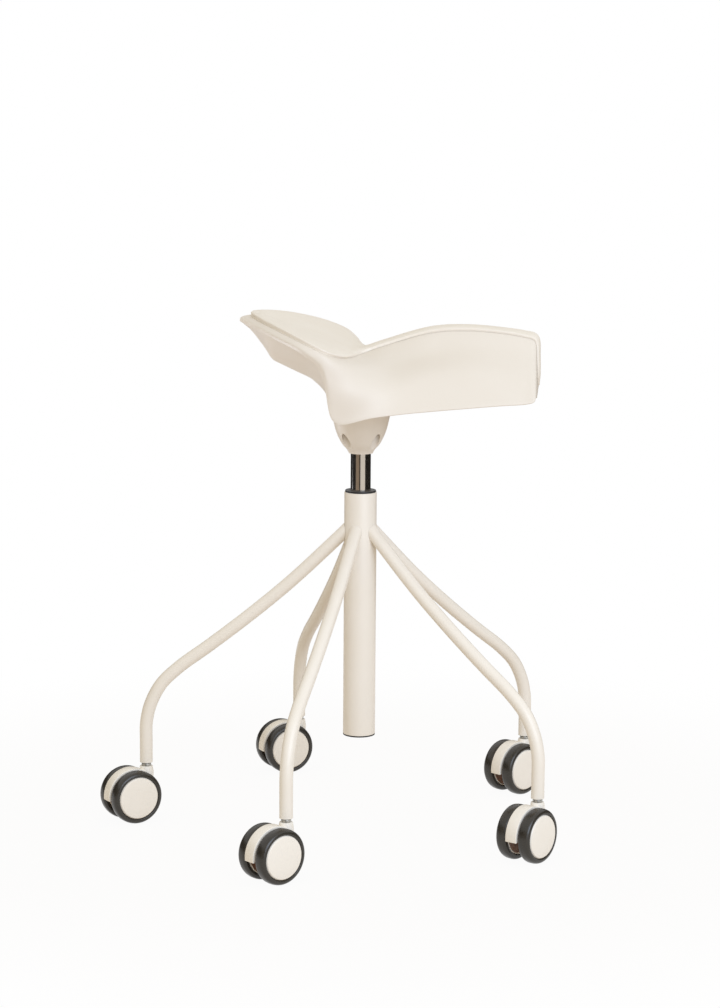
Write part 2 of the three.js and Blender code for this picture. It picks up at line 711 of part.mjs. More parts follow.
// A closed solid between two copies of a sheet
function between(sheet, upper, lower) {
  const count = sheet.points.length;
  const position = [...upper, ...lower].flatMap((p) => [p.x, p.y, p.z]);
  const index = [];
  const edges = new Map();
  for (const [a, b, c] of sheet.faces) {
    index.push(a, b, c, a + count, c + count, b + count);
    for (const [p, q] of [[a, b], [b, c], [c, a]]) {
      edges.set(`${p} ${q}`, [p, q]);
    }
  }
  for (const [p, q] of edges.values()) {
    if (!edges.has(`${q} ${p}`)) {
      index.push(q, p, p + count, q, p + count, q + count);
    }
  }
  const geometry = new THREE.BufferGeometry();
  geometry.setAttribute("position", new THREE.Float32BufferAttribute(position, 3));
  geometry.setIndex(index);
  return geometry;
}

const seatRows = [];
for (let i = 0; i <= loftSteps; i += 1) {
  seatRows.push(seatRow(i / loftSteps));
}
const lastColumn = padColumnShares.length + flankColumnShares.length - 1;
const seatSheet = sheetOf(seatRows, lastColumn);
const seatNormals = normalsOf(seatSheet);
const raised = (sheet, normals, heights) => sheet.points.map(
  (p, i) => p.clone().addScaledVector(normals[i], heights(sheet.grid[i])));

// Shell with four screw bosses on its underside
const shellSolid = between(seatSheet, seatSheet.points,
  raised(seatSheet, seatNormals, () => -shellThickness));
const bossFoot = plateTop + fitGap;
const sheetGeometry = new THREE.BufferGeometry();
sheetGeometry.setAttribute("position", new THREE.Float32BufferAttribute(
  seatSheet.points.flatMap((p) => [p.x, p.y, p.z]), 3));
sheetGeometry.setIndex(seatSheet.faces.flat());
const sheetMesh = new THREE.Mesh(sheetGeometry,
  new THREE.MeshStandardMaterial({ side: THREE.DoubleSide }));
const down = new THREE.Vector3(0, 0, -1);
const seatTop = seatHemHeight + 2 * seatDepth;

// The lowest height of the seat's surface above the rim of a boss
function surfaceOver(x, y, radius) {
  const heights = circlePoints(radius, smallFaces).map((p) => {
    const ray = new THREE.Raycaster(new THREE.Vector3(x + p.x, y + p.y, seatTop), down);
    return seatTop - ray.intersectObject(sheetMesh)[0].distance;
  });
  return Math.min(...heights);
}

const bosses = [];
for (let i = 0; i < boltCount; i += 1) {
  const angle = radians(boltTurn + (360 * i) / boltCount);
  const x = (boltCircle / 2) * Math.cos(angle);
  const y = (boltCircle / 2) * Math.sin(angle);
  const bossTop = surfaceOver(x, y, bossDiameter / 2) - fitGap;
  const boss = rod(bossDiameter / 2, bossFoot, bossTop, smallFaces);
  boss.translate(x, y, 0);
  bosses.push(boss);
}
place(onFloor, "seat_shell", cut(join(shellSolid, ...bosses),
  ...onBoltCircle(() => rod(boltDiameter / 2 + fitGap, bossFoot - cutOverrun,
    plateTop + boltGrip + slideGap, smallFaces))), "cream");

// Pad: thick at the cantle, thin along the crest and down the nose, with a rolled edge
const padLast = padColumnShares.length - 1;
const padSheet = sheetOf(seatRows, padLast);
const normalAt = new Map(seatSheet.points.map(
  (p, i) => [[p.x, p.y, p.z].map((value) => Math.round(value * 100)).join(" "), seatNormals[i]]));
const padNormals = padSheet.points.map((p) => normalAt.get(
  [p.x, p.y, p.z].map((value) => Math.round(value * 100)).join(" ")));
const dipRow = 0.42;
function padThickness([r, c]) {
  const row = r / loftSteps;
  const rear = THREE.MathUtils.smoothstep(dipRow - row, 0, dipRow);
  const nose = THREE.MathUtils.smoothstep(row - dipRow, 0, dipRow);
  const full = padDipThickness + (padRearThickness - padDipThickness) * rear
    + (padNoseThickness - padDipThickness) * nose;
  const end = r === 0 || r === loftSteps;
  return fitGap + (full - fitGap) * (c === padLast || end ? padEdgeShare : 1);
}
place(onFloor, "seat_pad", between(padSheet, raised(padSheet, padNormals, padThickness),
  raised(padSheet, padNormals, () => fitGap)), "pad");

// Under cover: a hull below the cantle, closed against the shell and cut round the mount
const keelStations = keelDepthShares.length - 1;
function shareAt(shares, row) {
  const place01 = Math.min(row * stationCount, keelStations);
  const i = Math.min(Math.floor(place01), keelStations - 1);
  return shares[i] + (shares[i + 1] - shares[i]) * (place01 - i);
}

// The hull between two stations: closed against the shell, or raised inside as the hollow
function keelHull(from, to, reaches, drop, wall) {
  const rows = [];
  const outers = [];
  const steps = Math.round((loftSteps * (to - from)) / stationCount);
  for (let i = 0; i <= steps; i += 1) {
    const row = (from + ((to - from) * i) / steps) / stationCount;
    const reach = shareAt(keelReachShares, row);
    const crest = rails[0].getPoint(row);
    const edge = rails[1].getPoint(row);
    outers.push([Math.max(flankPoint(row, reach).y, keelWall), shareAt(keelDepthShares, row)]);
    rows.push([
      ...padColumnShares.map((share) => crest.clone().lerp(edge, share)),
      ...keelColumnShares.map((share) => flankPoint(row, share * shareAt(reaches, row))),
    ]);
  }
  const sheet = sheetOf(rows, padLast + keelColumnShares.length);
  const upper = raised(sheet, normalsOf(sheet), () => -drop);
  const lower = upper.map((p, i) => {
    const [outer, depthShare] = outers[sheet.grid[i][0]];
    const bow = Math.sqrt(Math.max(0, 1 - (p.y / outer) ** 2));
    const depth = Math.max(keelEdgeWall, seatDepth * depthShare * bow);
    return new THREE.Vector3(p.x, p.y, p.z - depth + wall);
  });
  if (wall > 0) {
    upper.forEach((p) => {
      p.z += wall + cutOverrun;
    });
  }
  return between(sheet, upper, lower);
}

const domeEnvelope = turned([
  [0, domeFootHeight], ...domeLine.map(([radius, height]) => [radius + fitGap, height]),
  [plateDiameter / 2 + slideGap, domeTopHeight], [plateDiameter / 2 + slideGap, plateTop + slideGap],
  [0, plateTop + slideGap],
], columnFaces, false);
const keelDrop = shellThickness + keelClearance;
place(onFloor, "under_cover", mainBody(cut(keelHull(0, keelStations, keelReachShares, keelDrop, 0),
  keelHull(keelHollowStart, keelStations + 1, keelHollowShares, keelDrop, keelWall),
  domeEnvelope)), "cream");

export default stool;
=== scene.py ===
# %% [markdown]
# # A saddle stool, dressed for the render
# The stool has a moulded saddle seat with a soft pad, a dark gas spring, a tall painted column,
# five bent-tube legs and five twin-wheel castors. The engineering model gives every piece its
# place and its moving body. This notebook adds the smooth surfaces, the finishes, the light and
# the camera, one kind of piece at a time.

# %% Load the engineering model
import json
import math

import bmesh
import bpy
import numpy as np
from mathutils import Matrix, Vector

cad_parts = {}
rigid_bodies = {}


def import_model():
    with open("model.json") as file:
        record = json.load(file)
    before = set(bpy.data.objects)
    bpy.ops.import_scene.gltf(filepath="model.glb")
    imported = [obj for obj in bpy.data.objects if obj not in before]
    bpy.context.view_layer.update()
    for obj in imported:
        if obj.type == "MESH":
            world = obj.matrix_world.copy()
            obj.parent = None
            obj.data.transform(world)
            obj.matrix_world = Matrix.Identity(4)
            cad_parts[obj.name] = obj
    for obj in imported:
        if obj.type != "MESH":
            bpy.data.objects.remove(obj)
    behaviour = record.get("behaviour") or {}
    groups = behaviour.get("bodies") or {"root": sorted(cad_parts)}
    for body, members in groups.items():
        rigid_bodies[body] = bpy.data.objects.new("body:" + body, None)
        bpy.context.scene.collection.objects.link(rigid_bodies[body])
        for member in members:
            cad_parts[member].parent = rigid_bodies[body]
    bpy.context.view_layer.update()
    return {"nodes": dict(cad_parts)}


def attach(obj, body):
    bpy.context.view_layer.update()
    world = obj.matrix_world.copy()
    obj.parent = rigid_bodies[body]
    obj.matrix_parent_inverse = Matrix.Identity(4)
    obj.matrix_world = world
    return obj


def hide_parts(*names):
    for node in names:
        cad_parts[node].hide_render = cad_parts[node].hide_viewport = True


for leftover in list(bpy.data.objects):
    bpy.data.objects.remove(leftover)
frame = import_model()
MM = 0.001
ORIGIN_HEIGHT = 124.5
FLOOR = -ORIGIN_HEIGHT * MM
LETTERS = "abcde"

# %% [markdown]
# ## Camera
# The picture was taken from a little above the seat, square to the stool's side, through a long
# lens that keeps the legs from spreading. A camera can be placed by eye or worked out. Here it
# was worked out from the legs' ends and the castors, so it is set by its angle, its distance and
# the width of its view.

# %% Camera
VIEW_TURN = math.radians(4.6)
VIEW_RISE = math.radians(9.22)
VIEW_ROLL = math.radians(0.39)
VIEW_DISTANCE = 3856.15 * MM
VIEW_TARGET = Vector((-0.7 * MM, 0, 453.05 * MM + FLOOR))
PHOTO_WIDTH_PX = 720
FOCAL_PX = 2770.68

camera_data = bpy.data.cameras.new("camera")
camera_data.sensor_fit = "HORIZONTAL"
camera_data.sensor_width = 36
camera_data.lens = FOCAL_PX / PHOTO_WIDTH_PX * camera_data.sensor_width
camera_data.clip_end = 100
camera = bpy.data.objects.new("camera", camera_data)
bpy.context.scene.collection.objects.link(camera)
bpy.context.scene.camera = camera
toward = Matrix.Rotation(VIEW_TURN, 3, "Z") @ Vector((0, -math.cos(VIEW_RISE), math.sin(VIEW_RISE)))
looking = (-toward).to_track_quat("-Z", "Y") @ Matrix.Rotation(VIEW_ROLL, 3, "Z").to_quaternion()
camera.matrix_world = Matrix.LocRotScale(VIEW_TARGET + VIEW_DISTANCE * toward, looking, None)
print("lens:", round(camera_data.lens, 1), "mm")

# %% [markdown]
# ## Small helpers for nodes and colours
# A finish is a tree of nodes. One function adds a node, sets it and links it, so a tree reads
# from top to bottom. Colours are written as they look on a screen and turned to linear light.


# %% Node and colour helpers
def add_node(tree, kind, links=None, **settings):
    """Adds a node; a link may be a value or another node's output."""
    node = tree.nodes.new(kind)
    for name, value in settings.items():
        setattr(node, name, value)
    for socket, value in (links or {}).items():
        if isinstance(value, bpy.types.NodeSocket):
            tree.links.new(value, node.inputs[socket])
        else:
            node.inputs[socket].default_value = value
    return node


def linear(hex_colour):
    """An sRGB colour such as "EBE6DE" as linear red, green, blue and alpha."""
    parts = [int(hex_colour[i:i + 2], 16) / 255 for i in (0, 2, 4)]
    return [p / 12.92 if p <= 0.04045 else ((p + 0.055) / 1.055) ** 2.4 for p in parts] + [1]


def per_metre(size_mm):
    """A noise scale whose features are about this many millimetres across."""
    return 1 / (size_mm * MM)


def surface_finish(name, base, shade, tone_mm, grain_mm, grain_depth, rough_low, rough_high,
                   metallic=0.0, ior=1.5, coat=0.0):
    """A finish with soft changes of tone, uneven gloss and a fine grain."""
    material = bpy.data.materials.new(name)
    material.use_nodes = True
    tree = material.node_tree
    tree.nodes.clear()
    place = add_node(tree, "ShaderNodeTexCoord").outputs["Object"]
    tone = add_node(tree, "ShaderNodeTexNoise",
                    {"Vector": place, "Scale": per_metre(tone_mm), "Detail": 3})
    colour = add_node(tree, "ShaderNodeMix", {"Factor": tone.outputs["Fac"]}, data_type="RGBA")
    colour.inputs[6].default_value = linear(base)
    colour.inputs[7].default_value = linear(shade)
    gloss = add_node(tree, "ShaderNodeTexNoise",
                     {"Vector": place, "Scale": per_metre(tone_mm * 0.4), "Detail": 2})
    rough = add_node(tree, "ShaderNodeMapRange", {
        "Value": gloss.outputs["Fac"], "From Min": 0.3, "From Max": 0.7,
        "To Min": rough_low, "To Max": rough_high})
    grain = add_node(tree, "ShaderNodeTexNoise",
                     {"Vector": place, "Scale": per_metre(grain_mm), "Detail": 4})
    bump = add_node(tree, "ShaderNodeBump", {
        "Height": grain.outputs["Fac"], "Strength": 0.5, "Distance": grain_depth * MM})
    shader = add_node(tree, "ShaderNodeBsdfPrincipled", {
        "Base Color": colour.outputs[2], "Roughness": rough.outputs["Result"],
        "Normal": bump.outputs["Normal"], "Metallic": metallic, "IOR": ior})
    if coat:
        shader.inputs["Coat Weight"].default_value = coat
        shader.inputs["Coat Roughness"].default_value = 0.25
    add_node(tree, "ShaderNodeOutputMaterial", {"Surface": shader.outputs["BSDF"]})
    return material


# %% [markdown]
# ## Finishes
# Each finish starts from what the real thing is. Moulded polypropylene is matt with a fine
# spark-eroded grain; powder coat is smoother, a little glossier and very slightly rippled like
# orange peel; the pad is foam with a skin of its own, softer and duller. The grains are really
# about 0.3 mm across, too fine to show, so they are drawn at 1 to 3 mm.

# %% Make the finishes
polypropylene = surface_finish("moulded_polypropylene", "E9E2D8", "E4DCD0", 90, 1.4, 0.02,
                               0.44, 0.56, ior=1.49)
powder_coat = surface_finish("powder_coated_steel", "F2ECE2", "EEE7DB", 60, 3.0, 0.012,
                             0.34, 0.44, ior=1.52)
skin_foam = surface_finish("integral_skin_foam", "F0EAE0", "ECE5DA", 70, 1.6, 0.08,
                           0.52, 0.66, ior=1.45)
castor_nylon = surface_finish("moulded_castor_nylon", "F6F1E8", "F2ECE1", 30, 1.2, 0.015,
                              0.36, 0.46, ior=1.53)
soft_tread = surface_finish("soft_polyurethane_tread", "332E26", "2A261F", 14, 1.4, 0.02,
                            0.24, 0.34, ior=1.5)
black_nylon = surface_finish("black_glass_filled_nylon", "242322", "1C1B1B", 20, 0.9, 0.04,
                             0.4, 0.52, ior=1.53)
black_chrome = surface_finish("black_chromed_tube", "C9BFB2", "BFB5A8", 25, 3.0, 0.002,
                              0.1, 0.14, metallic=1.0)
zinc_plate = surface_finish("zinc_plated_steel", "BEBBB4", "ABA8A1", 12, 1.0, 0.02,
                            0.28, 0.4, metallic=1.0)
# Painted shade: brown that stands in for the shadow on the cream wheel inside its rim.
painted_shade_core = surface_finish("painted_shade_castor_core", "9C6B46", "84583A", 16, 0.9, 0.02,
                             0.4, 0.55, ior=1.5)

# %% [markdown]
# ## Helpers for shapes
# Most pieces are turned: an outline swept about an axis. A machined or moulded corner is never
# knife-sharp, so each outline's corners are rounded first; the light then catches the edges.


# %% Shape helpers
SHARP = 38
CORNER_LIMIT = 0.45


def new_piece(name, points_mm, faces, material, sharp=SHARP, on_floor=True):
    """A mesh object at the origin from points in millimetres above the floor."""
    mesh = bpy.data.meshes.new(name)
    lift = FLOOR if on_floor else 0.0
    mesh.from_pydata([(x * MM, y * MM, z * MM + lift) for x, y, z in points_mm], [], faces)
    work = bmesh.new()
    work.from_mesh(mesh)
    bmesh.ops.remove_doubles(work, verts=work.verts, dist=1e-6)
    bmesh.ops.dissolve_degenerate(work, edges=work.edges, dist=1e-7)
    bmesh.ops.recalc_face_normals(work, faces=work.faces)
    work.to_mesh(mesh)
    work.free()
    piece = bpy.data.objects.new(name, mesh)
    bpy.context.scene.collection.objects.link(piece)
    mesh.materials.append(material)
    soften(piece, sharp)
    return piece


def soften(piece, sharp):
    """Smooth shading, except across edges sharper than this many degrees."""
    work = bmesh.new()
    work.from_mesh(piece.data)
    for face in work.faces:
        face.smooth = True
    for edge in work.edges:
        edge.smooth = (len(edge.link_faces) == 2
                       and edge.calc_face_angle(math.pi) < math.radians(sharp))
    work.to_mesh(piece.data)
    work.free()


def bake(piece, sharp=SHARP):
    """Applies the piece's modifiers to its mesh."""
    shown = piece.evaluated_get(bpy.context.evaluated_depsgraph_get())
    mesh = bpy.data.meshes.new_from_object(shown)
    piece.modifiers.clear()
    piece.data = mesh
    soften(piece, sharp)
    return piece


def dress(piece, body, slot, *nodes):
    """Puts a finished piece on its body in place of the engineering nodes."""
    if nodes:
        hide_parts(*nodes)
    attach(piece, body)


def carve(piece, cutter, sharp=SHARP):
    """Cuts a piece with another and removes the tool."""
    modifier = piece.modifiers.new("carve", "BOOLEAN")
    modifier.operation = "DIFFERENCE"
    modifier.solver = "EXACT"
    modifier.use_self = True
    modifier.object = cutter
    bake(piece, sharp)
    bpy.data.objects.remove(cutter)
    return piece


def rounded(outline, radius):
    """The outline with each corner off the axis rounded by up to this radius."""
    result = []
    count = len(outline)
    for i, point in enumerate(outline):
        here = np.array(point, float)
        before = np.array(outline[i - 1], float) - here
        after = np.array(outline[(i + 1) % count], float) - here
        to_before, to_after = np.linalg.norm(before), np.linalg.norm(after)
        if here[0] < 1e-9 or min(to_before, to_after) < 1e-6:
            result.append(tuple(here))
            continue
        reach = min(radius, CORNER_LIMIT * to_before, CORNER_LIMIT * to_after)
        start, end = here + before / to_before * reach, here + after / to_after * reach
        for t in np.linspace(0, 1, 4):
            result.append(tuple((1 - t) ** 2 * start + 2 * t * (1 - t) * here + t * t * end))
    return result


def turned_mesh(outline, faces=72):
    """Points and faces of an outline of (radius, height) swept about Z."""
    points, quads, count = [], [], len(outline)
    for i in range(faces):
        angle = 2 * math.pi * i / faces
        points += [(r * math.cos(angle), r * math.sin(angle), z) for r, z in outline]
    for i in range(faces):
        a, b = i * count, ((i + 1) % faces) * count
        quads += [(a + k, b + k, b + (k + 1) % count, a + (k + 1) % count) for k in range(count)]
    return points, quads


def turned(name, outline, material, radius=0.6, faces=72):
    """A turned piece on the column's axis."""
    return new_piece(name, *turned_mesh(rounded(outline, radius), faces), material)


def shifted(shape, x, y):
    """A shape, as points and faces, moved sideways."""
    points, faces = shape
    return [(px + x, py + y, pz) for px, py, pz in points], faces


def joined(*shapes):
    """Several shapes as one."""
    points, faces = [], []
    for some_points, some_faces in shapes:
        start = len(points)
        points += list(some_points)
        faces += [tuple(v + start for v in face) for face in some_faces]
    return points, faces


# %% [markdown]
# ## The seat
# The seat is one moulded saddle: a wide raised back, a dip over the column and a narrow nose,
# with deep skirts flaring down on both sides. It could be sculpted, or subdivided from a rough
# cage. Its edges are exact lines, though, so it is lofted: five rails run from the rear tip to
# the nose, and a smooth curve crosses them at each step.

# %% The seat's rails
SEAT_LENGTH = 415.0
SEAT_WIDTH = 330.0
SEAT_DEPTH = 130.0
REAR_OVERHANG = 170.0
HEM_HEIGHT = 584.0
SHELL_THICKNESS = 4.5
FIT_GAP = 0.3

crest_shares = [
    (0.043, 0, 1), (0.092, 0, 0.923), (0.164, 0, 0.846), (0.246, 0, 0.769),
    (0.308, 0, 0.708), (0.347, 0, 0.669), (0.381, 0, 0.642), (0.419, 0, 0.646),
    (0.482, 0, 0.715), (0.643, 0, 0.871), (0.759, 0, 0.898), (0.875, 0, 0.877),
    (0.949, 0, 0.851), (0.987, 0, 0.815), (0.994, 0, 0.615), (0.995, 0, 0.431),
    (0.996, 0, 0.308)]
pad_edge_shares = [
    (0.043, 0, 1), (0.087, 0.364, 0.976), (0.166, 0.679, 0.912), (0.26, 0.915, 0.812),
    (0.32, 0.962, 0.732), (0.357, 0.818, 0.676), (0.386, 0.545, 0.64), (0.427, 0.152, 0.646),
    (0.482, 0.121, 0.708), (0.643, 0.121, 0.862), (0.759, 0.121, 0.889), (0.875, 0.121, 0.866),
    (0.949, 0.121, 0.829), (0.985, 0.121, 0.787), (0.993, 0.121, 0.592), (0.995, 0.085, 0.423),
    (0.996, 0, 0.308)]
trough_shares = [
    (0.029, 0, 0.999), (0.077, 0.376, 0.976), (0.159, 0.697, 0.911), (0.255, 0.942, 0.808),
    (0.318, 0.99, 0.712), (0.366, 0.945, 0.608), (0.41, 0.812, 0.554), (0.467, 0.533, 0.546),
    (0.516, 0.376, 0.562), (0.648, 0.267, 0.669), (0.764, 0.248, 0.708), (0.875, 0.23, 0.7),
    (0.952, 0.218, 0.677), (0.987, 0.218, 0.638), (0.994, 0.206, 0.515), (0.996, 0.127, 0.385),
    (0.996, 0, 0.281)]
belly_shares = [
    (0.006, 0, 0.98), (0.063, 0.393, 0.95), (0.149, 0.726, 0.88), (0.251, 0.969, 0.764),
    (0.312, 1, 0.628), (0.352, 0.97, 0.415), (0.419, 0.915, 0.338), (0.487, 0.8, 0.331),
    (0.545, 0.679, 0.377), (0.655, 0.545, 0.469), (0.771, 0.485, 0.5), (0.882, 0.448, 0.492),
    (0.957, 0.424, 0.477), (0.99, 0.412, 0.454), (0.996, 0.364, 0.4), (0.996, 0.206, 0.308),
    (0.996, 0, 0.246)]
hem_shares = [
    (0.002, 0, 0.955), (0.062, 0.39, 0.921), (0.149, 0.72, 0.845), (0.252, 0.958, 0.715),
    (0.309, 0.975, 0.55), (0.345, 0.92, 0.06), (0.369, 0.897, 0), (0.472, 0.873, 0.069),
    (0.564, 0.839, 0.112), (0.66, 0.8, 0.142), (0.776, 0.758, 0.173), (0.892, 0.703, 0.2),
    (0.961, 0.667, 0.212), (0.988, 0.645, 0.231), (0.996, 0.564, 0.262), (0.996, 0.273, 0.215),
    (0.996, 0, 0.204)]


def rail_points(shares):
    """A rail's points in millimetres above the floor."""
    return np.array([(SEAT_LENGTH * x - REAR_OVERHANG, SEAT_WIDTH / 2 * y,
                      HEM_HEIGHT + SEAT_DEPTH * z) for x, y, z in shares])


rails = [rail_points(s) for s in
         (crest_shares, pad_edge_shares, trough_shares, belly_shares, hem_shares)]
STATIONS = len(crest_shares) - 1


def smooth_curve(points, share, before=None):
    """A centripetal curve through the points, at a share of its stretches. A point before the
    first one steers how it sets off."""
    last = len(points) - 1
    place = share * last
    i = min(int(place), last - 1)
    w = place - i
    p1, p2 = points[i], points[i + 1]
    if i > 0:
        p0 = points[i - 1]
    else:
        p0 = 2 * points[0] - points[1] if before is None else before
    p3 = points[i + 2] if i + 2 <= last else 2 * points[last] - points[last - 1]
    d0, d1, d2 = [np.linalg.norm(q - p) ** 0.5 for p, q in ((p0, p1), (p1, p2), (p2, p3))]
    d1 = d1 if d1 > 1e-4 else 1.0
    d0 = d0 if d0 > 1e-4 else d1
    d2 = d2 if d2 > 1e-4 else d1
    t1 = ((p1 - p0) / d0 - (p2 - p0) / (d0 + d1) + (p2 - p1) / d1) * d1
    t2 = ((p2 - p1) / d1 - (p3 - p1) / (d1 + d2) + (p3 - p2) / d2) * d1
    return (p1 + t1 * w + (-3 * p1 + 3 * p2 - 2 * t1 - t2) * w ** 2
            + (2 * p1 - 2 * p2 + t1 + t2) * w ** 3)


def smooth_step(value, low, high):
    """0 up to the low end and 1 from the high end, with a soft rise between."""
    t = min(max((value - low) / (high - low), 0.0), 1.0)
    return t * t * (3 - 2 * t)


def seat_row(row, pad_columns, flank_columns):
    """Points across one side of the seat at one step along it."""
    crest, edge, trough, belly, hem = [
        smooth_curve(rail, row, None if rail is rails[0] else rail[1] * (1, -1, 1))
        for rail in rails]
    flank = np.array([edge, trough, belly, hem])
    return ([crest + (edge - crest) * share for share in pad_columns]
            + [smooth_curve(flank, share) for share in flank_columns])


# %% [markdown]
# A lofted sheet has no thickness. Each point's normal is worked out from the faces round it, a
# second sheet is set off along the normals, and the two are closed along their open edge.


# %% Sheets and the solids between them
RIM_SMOOTHING = 3


def key_of(point):
    """The point's place to a thousandth, which tells it from the others."""
    return tuple(np.round(point, 3) + 0.0)


def unit(vector):
    """The vector at length 1, or as it is where it has no length."""
    return vector / max(np.linalg.norm(vector), 1e-9)


def sheet_of(rows, last_column):
    """Both sides of the loft as one sheet: points, grid places and faces."""
    points, grid, faces, seen = [], [], [], {}

    def index_of(r, c, side):
        p = np.array(rows[r][c]) * (1, side, 1)
        key = key_of(p)
        if key not in seen:
            seen[key] = len(points)
            points.append(p)
            grid.append((r, c))
        return seen[key]

    for r in range(len(rows) - 1):
        for c in range(last_column):
            for side in (1, -1):
                corner = [index_of(r, c, side), index_of(r + 1, c, side),
                          index_of(r + 1, c + 1, side), index_of(r, c + 1, side)]
                if side < 0:
                    corner.reverse()
                ring = [v for k, v in enumerate(corner) if v != corner[k - 1]]
                if len(set(ring)) > 2:
                    faces.append(tuple(ring))
    return np.array(points), grid, faces


def sheet_normals(points, faces):
    """A unit normal at each point."""
    normals = np.zeros_like(points)
    for face in faces:
        p = points[list(face)]
        normal = sum(np.cross(p[k] - p[0], p[k + 1] - p[0]) for k in range(1, len(p) - 1))
        normals[list(face)] += normal
    lengths = np.linalg.norm(normals, axis=1)
    return normals / np.maximum(lengths, 1e-9)[:, None]


def between(upper, lower, faces, normals=None, rim=None):
    """A closed solid between two copies of a sheet. Each of a point's rim pairs gives how far
    down the edge a new point lies, as a share, and how far out it stands in millimetres."""
    count = len(upper)
    solid = list(faces) + [tuple(v + count for v in reversed(face)) for face in faces]
    edges = {(face[k - 1], face[k]) for face in faces for k in range(len(face))}
    open_edges = [(p, q) for p, q in edges if (q, p) not in edges]
    outward = {}
    if rim:
        for p, q in open_edges:
            side = unit(np.cross(upper[q] - upper[p], normals[p] + normals[q]))
            outward[p] = outward.get(p, 0) + side
            outward[q] = outward.get(q, 0) + side
        for _ in range(RIM_SMOOTHING):
            spread = {v: 2 * unit(side) for v, side in outward.items()}
            for p, q in open_edges:
                spread[p] = spread[p] + unit(outward[q])
                spread[q] = spread[q] + unit(outward[p])
            outward = spread
    points = list(upper) + list(lower)
    chains = {}
    for v, side in outward.items():
        chains[v] = [v]
        for down, out in rim(v):
            chains[v].append(len(points))
            points.append(upper[v] + down * (lower[v] - upper[v]) + out * unit(side))
        chains[v].append(v + count)
    for p, q in open_edges:
        first, second = chains.get(p, [p, p + count]), chains.get(q, [q, q + count])
        solid += [(second[k], first[k], first[k + 1], second[k + 1])
                  for k in range(len(first) - 1)]
    return np.array(points), solid


# %% The seat's sheet
PAD_LAST = 8
FLANK_STEPS = 26
LOFT_STEPS = 8 * STATIONS
EDGE_CROWDING = 1.4
pad_columns = list(1 - (1 - np.linspace(0, 1, PAD_LAST + 1)) ** EDGE_CROWDING)
flank_columns = list(np.linspace(0, 1, FLANK_STEPS + 1)[1:])
seat_rows = [seat_row(k / LOFT_STEPS, pad_columns, flank_columns) for k in range(LOFT_STEPS + 1)]
seat_points, seat_grid, seat_faces = sheet_of(seat_rows, PAD_LAST + FLANK_STEPS)
seat_normals = sheet_normals(seat_points, seat_faces)
print("seat sheet:", len(seat_points), "points,", len(seat_faces), "faces")

# %% Seat shell
HEM_THICKNESS = 2.4
THINS_FROM = 0.73
RIM_BULGE = 0.8


def wall_at(share):
    """The shell's wall at a share of the flank: it thins towards the hem."""
    thinned = smooth_step(share, THINS_FROM, 1)
    return SHELL_THICKNESS + (HEM_THICKNESS - SHELL_THICKNESS) * thinned


round_rim = [((1 - math.cos(angle)) / 2, RIM_BULGE * math.sin(angle))
             for angle in np.linspace(0, math.pi, 7)[1:-1]]
seat_walls = np.array([wall_at((column - PAD_LAST) / FLANK_STEPS) for _, column in seat_grid])
seat_shell = new_piece("seat_shell_skin", *between(
    seat_points, seat_points - seat_walls[:, None] * seat_normals, seat_faces, seat_normals,
    lambda v: round_rim), polypropylene, 60)
print("shell faces:", len(seat_shell.data.polygons))

# %% [markdown]
# Under the shell, four bosses reach down to the mount plate. They are only seen from below.

# %% Screw bosses
BOLT_CIRCLE = 57.4
BOLT_TURN = math.radians(49.6)
DOME_FOOT = 525.0
DOME_HEIGHT = 86.5
DOME_TOP = DOME_FOOT + DOME_HEIGHT
PLATE_FOOT = DOME_TOP + FIT_GAP
PLATE_TOP = PLATE_FOOT + 4.0
BOSS_R = 6.5
BOSS_BORE_R = 2.6
bolt_places = [(BOLT_CIRCLE / 2 * math.cos(BOLT_TURN + k * math.pi / 2),
                BOLT_CIRCLE / 2 * math.sin(BOLT_TURN + k * math.pi / 2)) for k in range(4)]


def surface_under(x, y, reach):
    """The lowest height of the seat's sheet within reach of a place, skirts left out."""
    near = np.hypot(seat_points[:, 0] - x, seat_points[:, 1] - y) < reach
    high = seat_points[:, 2] > HEM_HEIGHT + 0.4 * SEAT_DEPTH
    return seat_points[near & high][:, 2].min()


bosses = []
for x, y in bolt_places:
    foot = PLATE_TOP + FIT_GAP
    top = surface_under(x, y, BOSS_R + 1) - SHELL_THICKNESS / 2
    outline = rounded([(BOSS_BORE_R, foot), (BOSS_R, foot), (BOSS_R, top), (BOSS_BORE_R, top)], 0.5)
    bosses.append(shifted(turned_mesh(outline, 32), x, y))
seat_bosses = new_piece("seat_shell_bosses", *joined(*bosses), polypropylene)
dress(seat_shell, "seat", "cream_plastic", "seat_shell")
dress(seat_bosses, "seat", "cream_plastic")

# %% [markdown]
# ## The pad
# The pad is a T of skinned foam set on the shell: a wing on the raised back and a narrow strip
# along the crest and down the nose. It is thick at the back and thin along the strip, a little
# crowned, and its side leans in under a rolled top edge. A cloth simulation suits sewn cushions.
# This pad is moulded and has no slack, so its crown and rolled edge are worked out instead.

# %% Pad
PAD_REAR, PAD_DIP, PAD_NOSE = 10.0, 6.0, 4.2
DIP_ROW = 0.42
LEANING_ROWS = 0.12
PAD_GAP = 0.1
PAD_EDGE_SHARE = 0.62
pad_points, pad_grid, pad_faces = sheet_of(seat_rows, PAD_LAST)
normal_at = {key_of(point): normal for point, normal in zip(seat_points, seat_normals)}
pad_normals = np.array([normal_at[key_of(point)] for point in pad_points])


def pad_thickness(place):
    """The foam's thickness at a row and column: thick at the back, and crowned."""
    row = place[0] / LOFT_STEPS
    full = (PAD_DIP + (PAD_REAR - PAD_DIP) * smooth_step(DIP_ROW - row, 0, DIP_ROW)
            + (PAD_NOSE - PAD_DIP) * smooth_step(row - DIP_ROW, 0, DIP_ROW))
    crown = 1 - pad_columns[place[1]] ** 5
    end = smooth_step(min(row, 1 - row) * STATIONS, 0, 1)
    return full * (PAD_EDGE_SHARE + (1 - PAD_EDGE_SHARE) * crown * end)


